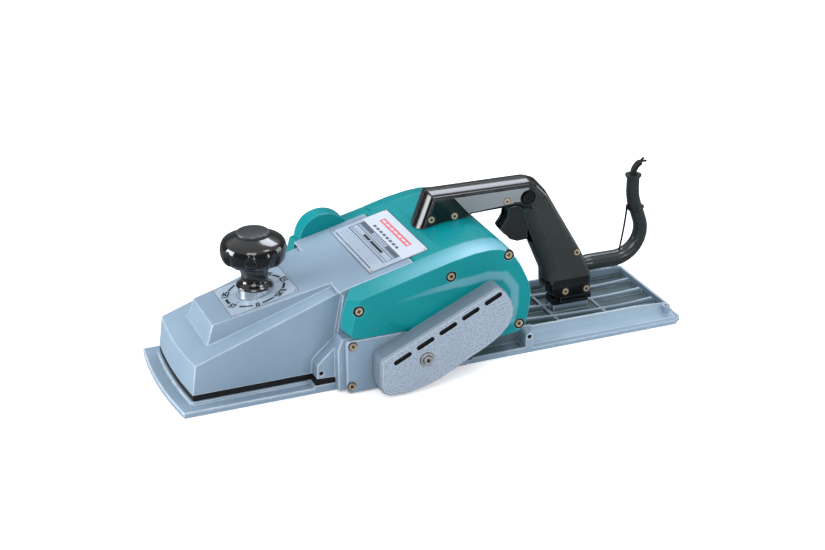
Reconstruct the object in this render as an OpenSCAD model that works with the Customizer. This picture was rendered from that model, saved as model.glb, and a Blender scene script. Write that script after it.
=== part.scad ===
// Electric hand planer, 155 mm class.
// Frame: X runs along the tool (front knob towards -X, rear of the base towards +X),
// -Y is the belt-cover side, +Z is up. The origin lies on the sole plane, mid-width,
// straight below the cutter-drum axis. All sizes in millimetres.
// In comments, "near" is the -Y side and "far" is the +Y side.

/* [Base] */
// Width of the sole
base_w = 160; // [158:0.5:160]
// Length of the rear base behind the drum axis
rear_len = 353; // [348:1:362]
// Reach of the front base ahead of the drum axis, at mid-width
front_len = 235; // [232:1:240]
// Thickness of the rear sole plate
sole_t = 5; // [4:0.5:6]
// Height of the inner ribs at the front of the rear base
rib_h = 16; // [14:0.5:18]
// Thickness of the ribs
rib_t = 3; // [2.4:0.2:3.6]

/* [Cutter] */
// Radius of the bare drum
drum_r = 26; // [25:0.1:26]
// Radius swept by the blade edges
tip_r = 27; // [26.5:0.1:27]
// Length of the drum and its blades
drum_len = 156; // [150:1:157]

/* [Drive] */
// Height of the motor axis above the sole
motor_z = 75; // [74:0.5:76]
// Distance of the motor axis behind the drum axis
motor_x = 86; // [85:0.5:87]
// Pitch radius of the drum pulley
drum_pulley_r = 18.5; // [18:0.1:18.6]
// Pitch radius of the motor pulley
motor_pulley_r = 15; // [14:0.1:15.5]
// Width of the drive belt
belt_w = 14; // [12:0.5:14]

/* [Hood] */
// Half-width of the front hood
hood_y = 64; // [62:0.5:65]
// Wall thickness of the castings
cast_t = 4; // [3.5:0.1:4.5]
// Wall thickness of the plastic covers
shell_t = 3; // [2.6:0.1:3.2]

/* [Handle] */
// Half-width of the handle
grip_y = 15.5; // [15:0.1:16]
// Wall thickness of the handle halves
grip_t = 3.5; // [3:0.1:4]

/* [Knob] */
// Radius of the front knob's head
knob_r = 35.2; // [33:0.1:36]
// Number of finger notches round the knob
knob_notches = 8; // [6:1:10]

/* [Cord] */
// Radius of the power cord
cord_r = 3.8; // [3.5:0.1:4]

/* [Hidden] */
$fn = 96;
gap = 0.2;          // static gap between neighbouring pieces
run_gap = 0.05;     // running clearance on a radius

// Axes along Y, as [x, z]
drum_z = tip_r;     // the edges just touch the sole plane
drum = [0, drum_z];
motor = [motor_x, motor_z];

// Planes across the tool, as distances from mid-width
half_w = base_w/2;
seam_y = 71;        // where the covers leave the roof
cheek_in = 84;      // inner face of the frame's cheeks
cheek_out = 90;     // outer face of the cheeks
face_y = 96;        // outer face of the side covers
pad_y = 100;        // raised pad under the belt cover
belt_face_y = 122;  // outer face of the belt cover
belt_mid_y = -109.5;                        // middle plane of the belt
pulley_rim = 1.6;                           // pulley width beyond the belt, each end
pulley_end_y = belt_mid_y - belt_w/2 - pulley_rim;

knob_x = -124;
hood_x = -218;      // front of the hood at its lower edge
seam_x = 35;        // joint between the chip hood and the end cover
hood_z = 62.4;      // lower edge of the chip hood

// Fasteners and bearings
screw_hole = 1.9+gap;
cover_screw_r = 1.6;
base_bolt_r = 3;
base_bolt_x = [48, 76];
base_bolt_y = 70;
foot_bolt_r = 2.5;
foot_bolt_x = [232, 258];
top_bolt_r = 2.2;
top_bolts = [[62.5, 128.2], [78, 131.2]];   // [x, z of the head]
drum_bearing_r = 17.5;
near_bearing_r = 16;                        // motor bearing on the belt side
far_bearing_r = 15;
pin_r = 5;

// Screw places, as [x, z]
plate_screws = [[-51.1, 55.6], [-53, 9.8], [58, 39], [26, 16.5]];
cover_screws = [[-43.4, 93.7], [59.4, 115.1], [125.2, 128.4], [139.3, 46.1]];
end_screws = [[60, 124], [136, 108], [130, 50]];
near_posts = [[38, 121], [128, 118], [37, 80], [142.5, 62]];
far_posts = [[47.5, 118], [128, 118], [47.5, 80], [142.5, 62]];
top_post = [123, 129];
handle_screw_spots = [[71, 146], [98, 146], [160, 153.2], [248.4, 78], [235.8, 31.8], [262.4, 31]];
belt_screw = [21.2, 39];

// Shared colours
cast_blue = [0.60, 0.69, 0.78];
teal = [0.0, 0.58, 0.57];
bright_steel = [0.72, 0.73, 0.75];
race_steel = [0.74, 0.75, 0.77];
core_grey = [0.45, 0.46, 0.48];
pulley_grey = [0.62, 0.63, 0.65];
nut_grey = [0.5, 0.5, 0.52];
copper = [0.72, 0.42, 0.20];
warm_screw = [0.80, 0.66, 0.52];
handle_black = [0.13, 0.14, 0.14];

// Heights at a given x
function roof_z(x) = 120.6 + 0.24*x;
function hood_top_z(x) = 49 + 0.351*(x+209);
function rib_top(x) = rib_h - 6*sin(min(1, max(0, (x-150)/150))*90) + 2.5*pow(max(0, (x-290)/56), 2);
function wall_top(x) = 24 - (x-165)*8.5/180;

// ---------- helpers ----------
// Extrude an XZ outline between two Y planes
module along_y(y0, y1) {
  translate([0, y1, 0]) rotate([90, 0, 0]) linear_extrude(height = y1-y0) children();
}
// Extrude a YZ outline between two X planes
module along_x(x0, x1) {
  translate([x0, 0, 0]) rotate([90, 0, 90]) linear_extrude(height = x1-x0) children();
}
// Place at p = [x, z]
module at_xz(p, y = 0) { translate([p[0], y, p[1]]) children(); }
// Cylinder along Y at p = [x, z]
module rod_y(p, r, y0, y1) { at_xz(p, y1) rotate([90, 0, 0]) cylinder(r = r, h = y1-y0); }
// Ring along Y at p = [x, z]
module ring_y(p, outer_r, inner_r, y0, y1) {
  at_xz(p, y1) rotate([90, 0, 0]) difference() {
    cylinder(r = outer_r, h = y1-y0);
    translate([0, 0, -1]) cylinder(r = inner_r, h = y1-y0+2);
  }
}
module both_sides() { children(); mirror([0, 1, 0]) children(); }
module at_knob(z = 0) { translate([knob_x, 0, z]) children(); }
module at_twin_pins(z) { both_sides() translate([-96, 50, z]) children(); }
module at_front_pin(z) { translate([-179, 0, z]) children(); }
module at_base_bolts(z) {
  for (s = [-1, 1]) for (x = base_bolt_x) translate([x, s*base_bolt_y, z]) children();
}
// Cross-head screw with its head towards -Y: head at y, shank behind it
module cross_screw(p, y, head_r, head_h, shank_r, shank_l) {
  at_xz(p, y) rotate([90, 0, 0]) difference() {
    union() {
      cylinder(r = head_r, h = head_h, $fn = 40);
      translate([0, 0, -shank_l]) cylinder(r = shank_r, h = shank_l+0.1, $fn = 32);
    }
    for (a = [0, 90]) rotate(a)
      translate([-0.55, -head_r*0.6, head_h-1.1]) cube([1.1, head_r*1.2, 2]);
  }
}
// Hex-socket bolt pointing up, underside of the head at z = 0
module socket_bolt(head_r, head_h, shank_r, length, socket_r) {
  difference() {
    union() { cylinder(r = head_r, h = head_h); cylinder(r = shank_r, h = length); }
    translate([0, 0, -1]) cylinder(r = socket_r, h = 2.6, $fn = 6);
  }
}
// The points in reverse order, scaled by fx and fy
function reflected(points, fx, fy) =
  [for (i = [len(points)-1:-1:0]) [fx*points[i][0], fy*points[i][1]]];

function unit(v) = v/norm(v);
// Rings of n points along a path; ref is a direction never parallel to the path
function path_rings(path, radii, n, ref) = let (last = len(path)-1)
  [for (i = [0:last])
    let (t = unit(path[min(i+1, last)] - path[max(i-1, 0)]), u = unit(cross(t, ref)), v = cross(t, u))
    for (k = [0:n-1]) path[i] + radii[i]*(cos(360*k/n)*u + sin(360*k/n)*v)];
// Faces between m successive rings of n points
function ring_faces(m, n) =
  [for (i = [0:m-2]) for (k = [0:n-1]) let (a = i*n+k, b = i*n+(k+1)%n) [a, b, b+n, a+n]];
// Round bar along a path
module tube(path, radii, n, ref = [0, 1, 0]) {
  m = len(path);
  start_cap = [for (k = [n-1:-1:0]) k];
  end_cap = [for (k = [0:n-1]) (m-1)*n+k];
  polyhedron(points = path_rings(path, radii, n, ref),
    faces = concat(ring_faces(m, n), [start_cap], [end_cap]), convexity = 6);
}
// Round bar with a bore
module hose(path, outer_radii, inner_radii, n = 16, ref = [0, 1, 0]) {
  m = len(path);
  bore = m*n;         // index of the first bore point
  end = (m-1)*n;      // index of the last outer ring
  outer = ring_faces(m, n);
  inner = [for (f = outer) [bore+f[0], bore+f[3], bore+f[2], bore+f[1]]];
  start_cap = [for (k = [0:n-1]) let (j = (k+1)%n) [k, bore+k, bore+j, j]];
  end_cap = [for (k = [0:n-1]) let (j = (k+1)%n) [end+k, end+j, bore+end+j, bore+end+k]];
  polyhedron(points = concat(path_rings(path, outer_radii, n, ref), path_rings(path, inner_radii, n, ref)),
    faces = concat(outer, inner, start_cap, end_cap), convexity = 8);
}
function coil(r, length, turns, steps = 14) = [for (i = [0:turns*steps])
  [r*cos(360*i/steps), r*sin(360*i/steps), length*i/(turns*steps)]];
module helix(coil_r, length, turns, wire_r) {
  path = coil(coil_r, length, turns);
  tube(path, [for (p = path) wire_r], 8, [0, 0, 1]);
}

// ---------- outlines, points as [x, z] ----------
// Top and rear of the motor housing, from the roof round to the underside
motor_back = [[27.4, roof_z(27.4)], [60, roof_z(60)+0.8], [85, 140.3], [103, 141.6], [116, 140.2],
  [126, 135.6], [135, 127], [144, 113], [150.6, 99], [154.6, 86], [155, 74], [153, 57],
  [149, 43], [139, 34], [104, 30.5]];
// Motor housing seen from the side
module housing2d() {
  offset(r = 5, $fn = 48) offset(delta = -5)
    polygon(concat(motor_back, [[66, 27.6], [46, 36], [35, 55], [27.4, 72]]));
}
// Region under the side covers, reaching forward to the front flare
module cover2d() {
  polygon(concat([[-44, roof_z(-44)]], motor_back,
    [[-51.6, 61], [-62, 73], [-61.9, 78], [-60, 91], [-55.6, 106]]));
}
// Region below the side covers
module under_cover2d() {
  polygon([[-80, 0], [-80, hood_z], [2.7, hood_z], [60.1, 44.8], [104, 30.5], [104, 0]]);
}
// Part of a cheek that reaches up inside a cover
module cheek2d() {
  intersection() {
    offset(delta = -7) cover2d();
    polygon([[-46, 62], [-46, 96], [-20, 103], [150, 150], [150, 0], [60, 20]]);
  }
}
// Pillar at the front of a cheek
module pillar2d() {
  polygon([[-65, 3], [-65, 51], [-60, 62.2], [-45.6, 62.2], [-45.6, 68], [-49.6, 80],
    [-47.8, 98], [-38, 98], [-38, 3]]);
}
// What a cover on the cheek has to clear
module cheek_clearance2d() { offset(delta = 0.3) { cheek2d(); pillar2d(); } }
// Belt cover
module belt2d() {
  offset(r = 7, $fn = 64) offset(delta = -5.1) polygon([
    [-28.2, 45.2], [-28.3, 16], [-26.2, 9.2], [-19, 5.5], [-8.9, 4.9], [4.1, 5.7], [22.2, 9.6],
    [35.3, 14.2], [46.8, 19.9], [65, 30.6], [81.5, 38], [94.8, 44.8], [104.7, 51.6],
    [113, 60.5], [117.6, 71], [118, 79.5], [115.2, 88.2], [109.3, 97.6], [104.8, 102.8],
    [100.4, 103.6]]);
}
// Raised pad of the side cover
module pad2d(inset) {
  intersection() {
    offset(delta = -inset) polygon([[-14, 77], [56, 106.4], [80, 112.5], [103, 112.5], [122, 104.5],
      [131.5, 87], [133.5, 66], [132, 53], [112, 34], [60, 46.4], [2.6, 64]]);
    offset(delta = -4.5) cover2d();
  }
}

// ---------- plans, points as [x, y] ----------
// Rectangle whose front edge is a shallow arc
module bowed_plan(front_x, half_width, length, bow_r) {
  intersection() {
    translate([front_x, -half_width]) square([length, 2*half_width]);
    translate([front_x+bow_r, 0]) circle(r = bow_r, $fn = 720);
  }
}
module hood_plan(front_x, inset = 0) { bowed_plan(front_x+inset, hood_y-inset, 260, 560); }
module front_plan(inset = 0) { bowed_plan(inset-front_len, half_w-inset, front_len+40, 537); }

// ---------- main frame ----------
module hood_solid(inset = 0) {
  back_x = -48+2*inset;
  drop = 1.06*inset;
  intersection() {
    hull() {
      translate([0, 0, 15.6-2*inset]) linear_extrude(height = 0.02) hood_plan(hood_x, inset);
      translate([0, 0, 125]) linear_extrude(height = 0.02) hood_plan(hood_x+13.8, inset);
    }
    along_y(-hood_y-10, hood_y+10) polygon([[-230, 0], [-230, hood_top_z(-230)-drop],
      [back_x, hood_top_z(-48)-drop], [back_x, 0]]);
  }
}
// Raised deck on top of the hood
module deck_solid(inset = 0) {
  far_points = [[-193+inset*1.5, 38-inset, 46-inset], [-182+inset, 35.5-inset, roof_z(-182)-inset],
    [-44+inset, 46-inset, roof_z(-44)-inset*0.76], [-44+inset, 54-inset, 80], [-184, 42-inset, 46-inset]];
  polyhedron(points = concat(far_points, [for (p = far_points) [p[0], -p[1], p[2]]]),
    faces = [[2, 7, 6, 1], [1, 6, 5, 0], [4, 1, 0], [4, 3, 1], [3, 2, 1], [6, 9, 5], [8, 9, 6],
      [7, 8, 6], [5, 9, 4, 0], [9, 8, 3, 4], [3, 8, 7, 2]], convexity = 2);
}
module hood_shell() {
  difference() {
    union() { hood_solid(); deck_solid(); }
    hood_solid(cast_t);
    deck_solid(cast_t);
    translate([-90, -hood_y+cast_t, 0]) cube([60, 2*(hood_y-cast_t), 60]);
  }
}
// One side, drawn at -Y: front flare, pillar, bracket and cheek plate
module frame_side() {
  along_y(-seam_y+gap, -hood_y+cast_t) polygon([[-59.5, 3], [-59.5, 57], [-50, roof_z(-50)-1],
    [-44, roof_z(-44)-1], [-44, 3]]);
  along_y(-seam_y-1, -seam_y+1)
    polygon([[-59.5, 11], [-59.5, 56], [-50, 60], [-44, 60], [-44, 11]]);
  along_y(-cheek_out, -seam_y) pillar2d();
  // bracket with the fence hole
  along_y(-half_w, -hood_y+cast_t) polygon([[-85.4, 16.5], [-84.4, 32.4], [-62, 52.6], [-55, 55],
    [-55, 15.6], [-64, 15.6]]);
  along_y(-cheek_out, -cheek_in) difference() {
    union() {
      polygon([[-65, 3], [-65, 51], [-60, 62.2], [-50, 62.2], [2.6, 62.2], [60, 44.6],
        [66, 26], [30, 3]]);
      cheek2d();
    }
    translate(top_post) circle(r = 7);
  }
  rod_y(drum, 24, -cheek_out, -80.6);
}
module chip_chamber() {
  along_y(-cheek_in, cheek_in) difference() {
    translate(drum) circle(r = 34.4);
    translate(drum) circle(r = 31);
    polygon([[-60, -10], [60, -10], [60, 40], [29, 40], [0, 27], [-29, 40], [-60, 40]]);
    polygon([[-26, 40], [-26, 70], [-4, 70], [-4, 56]]);
  }
  // webs joining the chamber to the roof and the hood
  along_y(-cheek_in, cheek_in)
    polygon([[18, 54], [22, 52], [26.8, 66], [26.8, 114], [23, 114], [23, 68]]);
  along_y(-seam_y+1, seam_y-1)
    polygon([[23, 112], [26.8, 112], [26.8, roof_z(26.8)-3], [23, roof_z(23)-3]]);
  along_y(-cheek_in, cheek_in) polygon([[-60, 40], [-60, 36.5], [-31, 36.5], [-29, 40], [-27, 46],
    [-31, 46], [-33, 40]]);
}
// Bearers for the rear base bolts
module bolt_bearers() {
  z = 5.2;
  at_base_bolts(z) cylinder(r = 6.5, h = 17);
  both_sides() {
    for (x = base_bolt_x) translate([x-6.5, base_bolt_y, z]) cube([13, 18, 17]);
    translate([41.5, cheek_in, z]) cube([41, cheek_out-cheek_in, 26]);
  }
}
// Holes for the screws into the near and far posts of the motor housing
module post_holes(y0, y1) {
  for (p = near_posts) rod_y(p, screw_hole, y0, y1);
  mirror([0, 1, 0]) for (p = far_posts) rod_y(p, screw_hole, y0, y1);
}
module main_frame() color(cast_blue) difference() {
  union() {
    hood_shell();
    // roof between the cheeks, from the hood to the motor housing
    along_y(-seam_y+gap, seam_y-gap) polygon([[-56, roof_z(-56)-1], [-50, roof_z(-50)],
      [27, roof_z(27)], [27, roof_z(27)-cast_t], [-52, roof_z(-52)-cast_t-2]]);
    both_sides() frame_side();
    rod_y(cover_screws[3], 3.2, -cheek_out, -cheek_in);
    rod_y(motor, 21, -cheek_out, -80.2);
    chip_chamber();
    bolt_bearers();
    // boss that carries the depth screw
    intersection() {
      at_knob(62) cylinder(r = 15, h = 60);
      along_y(-20, 20) polygon([[-200, 0], [-200, roof_z(-200)-1], [0, roof_z(0)-1], [0, 0]]);
    }
    // sockets for the guide pins
    at_twin_pins(44) cylinder(r = 9, h = hood_top_z(-105)-45.4);
    at_front_pin(44) cylinder(r = 9, h = 12);
  }
  // depth screw and guide pins
  at_knob(40) cylinder(r = 6+run_gap, h = 90);
  at_twin_pins(40) cylinder(r = pin_r+gap, h = 22);
  at_front_pin(40) cylinder(r = pin_r+gap, h = 12);
  // drum and motor bearing seats
  both_sides() rod_y(drum, drum_bearing_r, -95, -75);
  rod_y(motor, near_bearing_r, -95, -75);
  // fence screw holes in both brackets
  both_sides() rod_y([-80.2, 22.1], 2.5, -half_w-1, -half_w+12);
  // passage for the chips on the side away from the belt
  translate([-19, 62, 96]) rotate([-90, 0, 0]) cylinder(r = 17, h = 40);
  // the front base and its lift pass below the pillars
  translate([-69, -half_w-0.3, -1]) cube([63, base_w+0.6, 12.4]);
  // opening round the motor's far bearing
  rod_y(motor, 20, 78, 95);
  // screw and bolt holes
  for (p = plate_screws) rod_y(p, screw_hole, -cheek_out-1, -78);
  at_base_bolts(0) cylinder(r = base_bolt_r+gap, h = 18);
  rod_y(cover_screws[1], cover_screw_r+gap, -cheek_out-1, -76);
  rod_y(cover_screws[3], cover_screw_r+gap, -cheek_out-1, -80);
  post_holes(-cheek_out-1, -76);
  both_sides() rod_y(cover_screws[0], screw_hole, -cheek_out-1, -76);
}

// ---------- front base ----------
// Flange, plateau and ears
module front_sole() {
  // flange, with a stepped edge
  linear_extrude(height = 5.6) front_plan();
  translate([0, 0, 5]) linear_extrude(height = 1.3) front_plan(1);
  // plateau below the hood
  translate([0, 0, 5]) linear_extrude(height = 4)
    offset(r = 6, $fn = 48) offset(delta = -6) intersection() {
      hood_plan(hood_x, -2.5);
      translate([-300, -70]) square([213, 140]);
    }
  translate([-95, -62, 5]) cube([70, 124, 4]);
  // thick ears under the brackets
  both_sides() translate([-88, -half_w, 3]) cube([25.5, 26, 6]);
}
module front_base() color(cast_blue) difference() {
  union() {
    intersection() {
      front_sole();
      // trimmed to the sole width, a little narrower at the rear
      union() {
        translate([-300, -half_w, -1]) cube([237.4, base_w, 40]);
        translate([-64, -half_w+0.01, -1]) cube([60, base_w-0.02, 40]);
      }
    }
    // bosses and ribs
    at_knob(5) cylinder(r = 13, h = 27);
    at_twin_pins(5) cylinder(r = 9, h = 22);
    at_front_pin(5) cylinder(r = 9, h = 20);
    for (y = [-36, 36]) translate([-184, y-2, 5]) cube([150, 4, 14]);
    for (x = [-150, -72]) translate([x, -54, 5]) cube([4, 108, 14]);
  }
  rod_y(drum, 30, -100, 100);
  at_knob(4) cylinder(r = 6+run_gap, h = 40);
  at_twin_pins(6) cylinder(r = pin_r+run_gap, h = 40);
  at_front_pin(6) cylinder(r = pin_r+run_gap, h = 40);
}
module base_gap_seal() color([0.09, 0.09, 0.09]) difference() {
  z = 9.05;
  height = 6.4;
  union() {
    translate([0, 0, z]) linear_extrude(height = height) intersection() {
      hood_plan(hood_x, 0.2);
      translate([-300, -80]) square([236, 160]);
    }
    both_sides() translate([-86.4, -half_w+0.5, z]) cube([21.2, 22.5, height]);
  }
  translate([0, 0, 5]) linear_extrude(height = 20) intersection() {
    hood_plan(hood_x, 8.5);
    translate([-300, -80]) square([250, 160]);
  }
  translate([-120, -45, 5]) cube([80, 90, 20]);
  at_twin_pins(5) cylinder(r = 11, h = 30);
}
module base_guide_pins() color([0.75, 0.76, 0.78]) {
  at_twin_pins(8.5) cylinder(r = pin_r, h = 52);
  at_front_pin(8.5) cylinder(r = pin_r, h = 42);
}

// ---------- rear base ----------
root_z = sole_t-1;      // ribs and walls start inside the sole plate
rear_in_y = 56;         // half-width inside the walls
post_x = 160;           // fence post
boss_x = 340;           // corner boss
// One side, drawn at -Y
module rear_side() {
  // outer wall with its cove down to the flange
  intersection() {
    along_x(168, rear_len-7) difference() {
      polygon([[-half_w+8, root_z], [-half_w+8, sole_t], [-rear_in_y, 30], [-52.5, 30],
        [-52.5, root_z]]);
      translate([-half_w+6, 29.5]) circle(r = 24.5);
    }
    along_y(-half_w, half_w)
      polygon([for (x = [150:13:358]) [x, wall_top(x)], [358, 0], [150, 0]]);
  }
  // forward run of the wall below the motor housing
  translate([100, -60, root_z]) cube([72, 4, 18]);
  // lip along the open pocket
  translate([92, -half_w, root_z]) cube([72, 2.5, 3]);
  // corner boss and fence post
  translate([boss_x, -61, root_z]) cylinder(r = 5, h = wall_top(boss_x)-3.4);
  translate([post_x, -74.5, root_z]) {
    translate([-4.5, -5.5, 0]) cube([9, 18, 15]);
    rod_y([0, 15], 4.5, -5.5, 12.5);
  }
}
module rear_ribs() {
  // lengthwise ribs, dished along their length
  for (y = [-28, 0, 28]) along_y(y-rib_t/2, y+rib_t/2)
    polygon(concat([for (x = [100:8:rear_len-7]) [x, rib_top(x)]],
      [[rear_len-7, root_z], [100, root_z]]));
  for (x = [100, 164, 215, 276]) translate([x, -rear_in_y, root_z])
    cube([rib_t, 2*rear_in_y, x < 150 ? 11 : rib_top(x)-6]);
}
module rear_base() color(cast_blue) difference() {
  union() {
    // sole plate with clipped rear corners
    linear_extrude(height = sole_t) polygon([[-5, -half_w], [rear_len-10, -half_w],
      [rear_len, -half_w+9], [rear_len, half_w-9], [rear_len-10, half_w], [-5, half_w]]);
    both_sides() rear_side();
    rear_ribs();
    // end wall
    translate([rear_len-10, -rear_in_y, root_z])
      cube([3, 2*rear_in_y, wall_top(rear_len-10)-4.4]);
    // pad under the rear foot of the handle
    translate([224, -10, root_z]) cube([44, 20, 17.6]);
    // pads for the bolts up into the main frame
    at_base_bolts(root_z) cylinder(r = 8, h = 1.1);
  }
  // throat
  rod_y(drum, tip_r+1.6, -100, 100);
  translate([-20, -100, -1]) cube([24, 200, 20]);
  at_base_bolts(-1) {
    cylinder(r = base_bolt_r+gap, h = 20);
    cylinder(r = 6.2, h = 4.4);
  }
  for (x = foot_bolt_x) translate([x, 0, -1]) {
    cylinder(r = foot_bolt_r+gap, h = 40);
    cylinder(r = 5.2, h = 5);
  }
  // holes in the fence posts and the corner bosses
  both_sides() {
    rod_y([post_x, 19], 2.5, -half_w-1, -67);
    translate([boss_x, -61, 5]) cylinder(r = 2, h = 20);
  }
}
module rear_base_bolts() color([0.55, 0.55, 0.56]) at_base_bolts(0.5)
  socket_bolt(head_r = 6, head_h = 2.8, shank_r = base_bolt_r, length = 16.5, socket_r = 2.4);

// ---------- side plate over the near drum bearing ----------
module side_plate() color(cast_blue) difference() {
  union() {
    along_y(-face_y, -cheek_out-gap) offset(r = 3, $fn = 40) offset(delta = -3)
      polygon([[-57.6, 3.4], [-57.6, 59], [-55, 61.6], [2.4, 61.6], [59.6, 44], [101, 30.4],
        [84, 23.8], [56, 12.5], [34, 5], [22, 1.2], [-54.6, 1.2]]);
    // boss for the belt cover's screw
    rod_y(belt_screw, 4.2, -belt_face_y+4.2, -90.4);
    ring_y(drum, 21, drum_bearing_r+gap, -98, -95);
  }
  rod_y(drum, drum_bearing_r+gap, -92.2, -85);
  rod_y(drum, 9, -100, -85);
  rod_y(belt_screw, 2.2, -130, -100);
  for (p = plate_screws) rod_y(p, screw_hole, -98, -85);
}
module side_plate_screws() color([0.78, 0.70, 0.56]) for (p = plate_screws)
  cross_screw(p, -face_y-0.05, head_r = 3.8, head_h = 1.9, shank_r = 1.9, shank_l = 14);

// ---------- motor housing ----------
// Post that meets a cheek: full inside the housing, narrower inside a cover
module post(p) {
  intersection() {
    rod_y(p, 7.8, -seam_y+gap, -56);
    along_y(-90, 0) housing2d();
  }
  intersection() {
    rod_y(p, 7, -cheek_in+gap, -70);
    along_y(-90, 0) offset(delta = -5.2) cover2d();
  }
}
module motor_housing() color(teal) difference() {
  union() {
    along_y(-seam_y+gap, seam_y-gap) difference() { housing2d(); offset(delta = -3.6) housing2d(); }
    // sleeve that holds the stator, on three webs: [angle, reach]
    ring_y(motor, 44, 40.2, -42, 44);
    for (w = [[20, 26], [90, 21], [160, 17]])
      at_xz(motor) rotate([0, -w[0], 0]) translate([42, -42, -2]) cube([w[1], 86, 4]);
    for (p = near_posts) post(p);
    mirror([0, 1, 0]) for (p = far_posts) post(p);
    intersection() {
      rod_y(top_post, 6, -seam_y+gap, -56);
      along_y(-90, 0) housing2d();
    }
    intersection() {
      rod_y(top_post, 6, -89, -70);
      along_y(-90, 0) offset(delta = -5.8) cover2d();
    }
    // webs that tie the far posts to the wall
    for (z = [80, 118]) translate([29, 56, z-3]) cube([18, seam_y-gap-56, 6]);
  }
  post_holes(-85, -60);
  rod_y(top_post, screw_hole, -90, -60);
  for (b = brushes) at_brush(b) cylinder(r = 7, h = 80);
  for (p = top_bolts) translate([p[0], 0, 110]) cylinder(r = top_bolt_r+gap, h = 40);
}

// ---------- plastic covers ----------
module side_loft(inset = 0) {
  hull() {
    along_y(-face_y+inset, -face_y+inset+0.02) intersection() {
      offset(delta = -3.4-inset) cover2d();
      translate([1.2*inset, 0]) polygon([[-53.6, 50], [-53.6, 64.6], [-49, 85.7], [-43, 104],
        [-30, 150], [200, 150], [200, 0], [-40, 0]]);
    }
    along_y(-86, -85.98) offset(delta = -1.4-inset) cover2d();
    along_y(-seam_y, -seam_y+0.02) intersection() {
      offset(delta = -inset) cover2d();
      polygon([[-44, 92], [-44, 160], [160, 160], [160, 50], [60, 90]]);
    }
  }
}
module side_cover() color(teal) difference() {
  union() {
    difference() {
      side_loft();
      side_loft(shell_t);
      along_y(-seam_y-2, 0) offset(delta = -2.5) cover2d();
    }
    // raised pad round the rear of the belt cover
    hull() {
      along_y(-face_y-0.02, -face_y+0.5) pad2d(0);
      along_y(-pad_y, -pad_y+0.02) pad2d(7);
    }
    intersection() {
      for (p = cover_screws) rod_y(p, 7.6, -face_y+0.1, -cheek_out-gap);
      side_loft(0.4);
    }
  }
  along_y(-200, 0) under_cover2d();
  along_y(-cheek_out-gap, 0) cheek_clearance2d();
  for (p = cover_screws) {
    rod_y(p, 6, -110, -face_y+3.2);
    rod_y(p, screw_hole, -110, -60);
  }
  rod_y(motor, 17, -110, -80);
}
module side_cover_screws() color(warm_screw) for (p = cover_screws)
  cross_screw(p, -face_y+2.9, head_r = 4, head_h = 2.3, shank_r = cover_screw_r, shank_l = 3.4);

// Loft of the +Y covers; the child outline picks the part of the cover region
module far_loft(inset, edge) {
  hull() {
    along_y(face_y-inset-0.02, face_y-inset) intersection() {
      offset(delta = -4-inset) cover2d();
      children();
    }
    along_y(seam_y+gap, seam_y+gap+8) intersection() {
      offset(delta = -edge-inset) cover2d();
      children();
    }
  }
}
module end_loft(inset = 0) {
  x = seam_x+gap+inset;
  far_loft(inset, 0) polygon([[x, 0], [x, 170], [170, 170], [170, 0]]);
}
module hood_loft(inset = 0) {
  x = seam_x-gap-inset;
  z = hood_z+inset;
  far_loft(inset, 1) polygon([[-70, z], [-70, 150], [x, 150], [x, z]]);
}
module end_cover() color(teal) difference() {
  union() {
    difference() {
      end_loft();
      end_loft(shell_t);
      along_y(60, seam_y+3) intersection() {
        offset(delta = -3) cover2d();
        translate([38.4, 0]) square([200, 200]);
      }
    }
    // bearing boss and its radial ribs
    rod_y(motor, 19, 80, face_y-1);
    intersection() {
      for (a = [45:90:315])
        at_xz(motor, 86) rotate([0, a, 0]) translate([-1.5, 0, 15]) cube([3, 9.5, 60]);
      along_y(60, 100) intersection() {
        offset(delta = -5) cover2d();
        translate([36, 0]) square([200, 200]);
      }
    }
  }
  along_y(0, 200) under_cover2d();
  rod_y(motor, far_bearing_r, 70, 90);
  // air slots above and below the motor axis
  for (i = [-3:3]) for (z = [26, -46])
    translate([motor_x+i*11-2, 84, motor_z-2+abs(i)*1.5+z]) cube([4, 20, 20-abs(i)*2.5]);
  for (p = end_screws) rod_y(p, screw_hole, 60, 120);
  // clearance round the far cheek
  along_y(seam_y-1, cheek_out+gap) offset(delta = 0.3) cheek2d();
}
module end_cover_screws() color(warm_screw) mirror([0, 1, 0]) for (p = end_screws)
  cross_screw(p, -face_y-0.05, head_r = 3.6, head_h = 2.2, shank_r = 1.7, shank_l = 3.6);
module chip_hood() color(teal) difference() {
  spout = [-19, 104];
  union() {
    difference() { hood_loft(); hood_loft(shell_t); }
    // rounded chip spout rising above the roof
    rod_y(spout, 30, seam_y+gap, 92);
    rod_y(spout, 25, 91, 97);
    rod_y(spout, 22, 91, 107);
  }
  rod_y(spout, 27, seam_y+gap+3, 89);
  rod_y(spout, 19, 80, 120);
  // clear of the cheek and its front pillar
  along_y(60, cheek_out+gap) cheek_clearance2d();
  // open towards the chip passage
  along_y(60, seam_y+gap+5) polygon([[-45, 76], [10, 76], [10, 110], [-45, 104]]);
}
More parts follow.
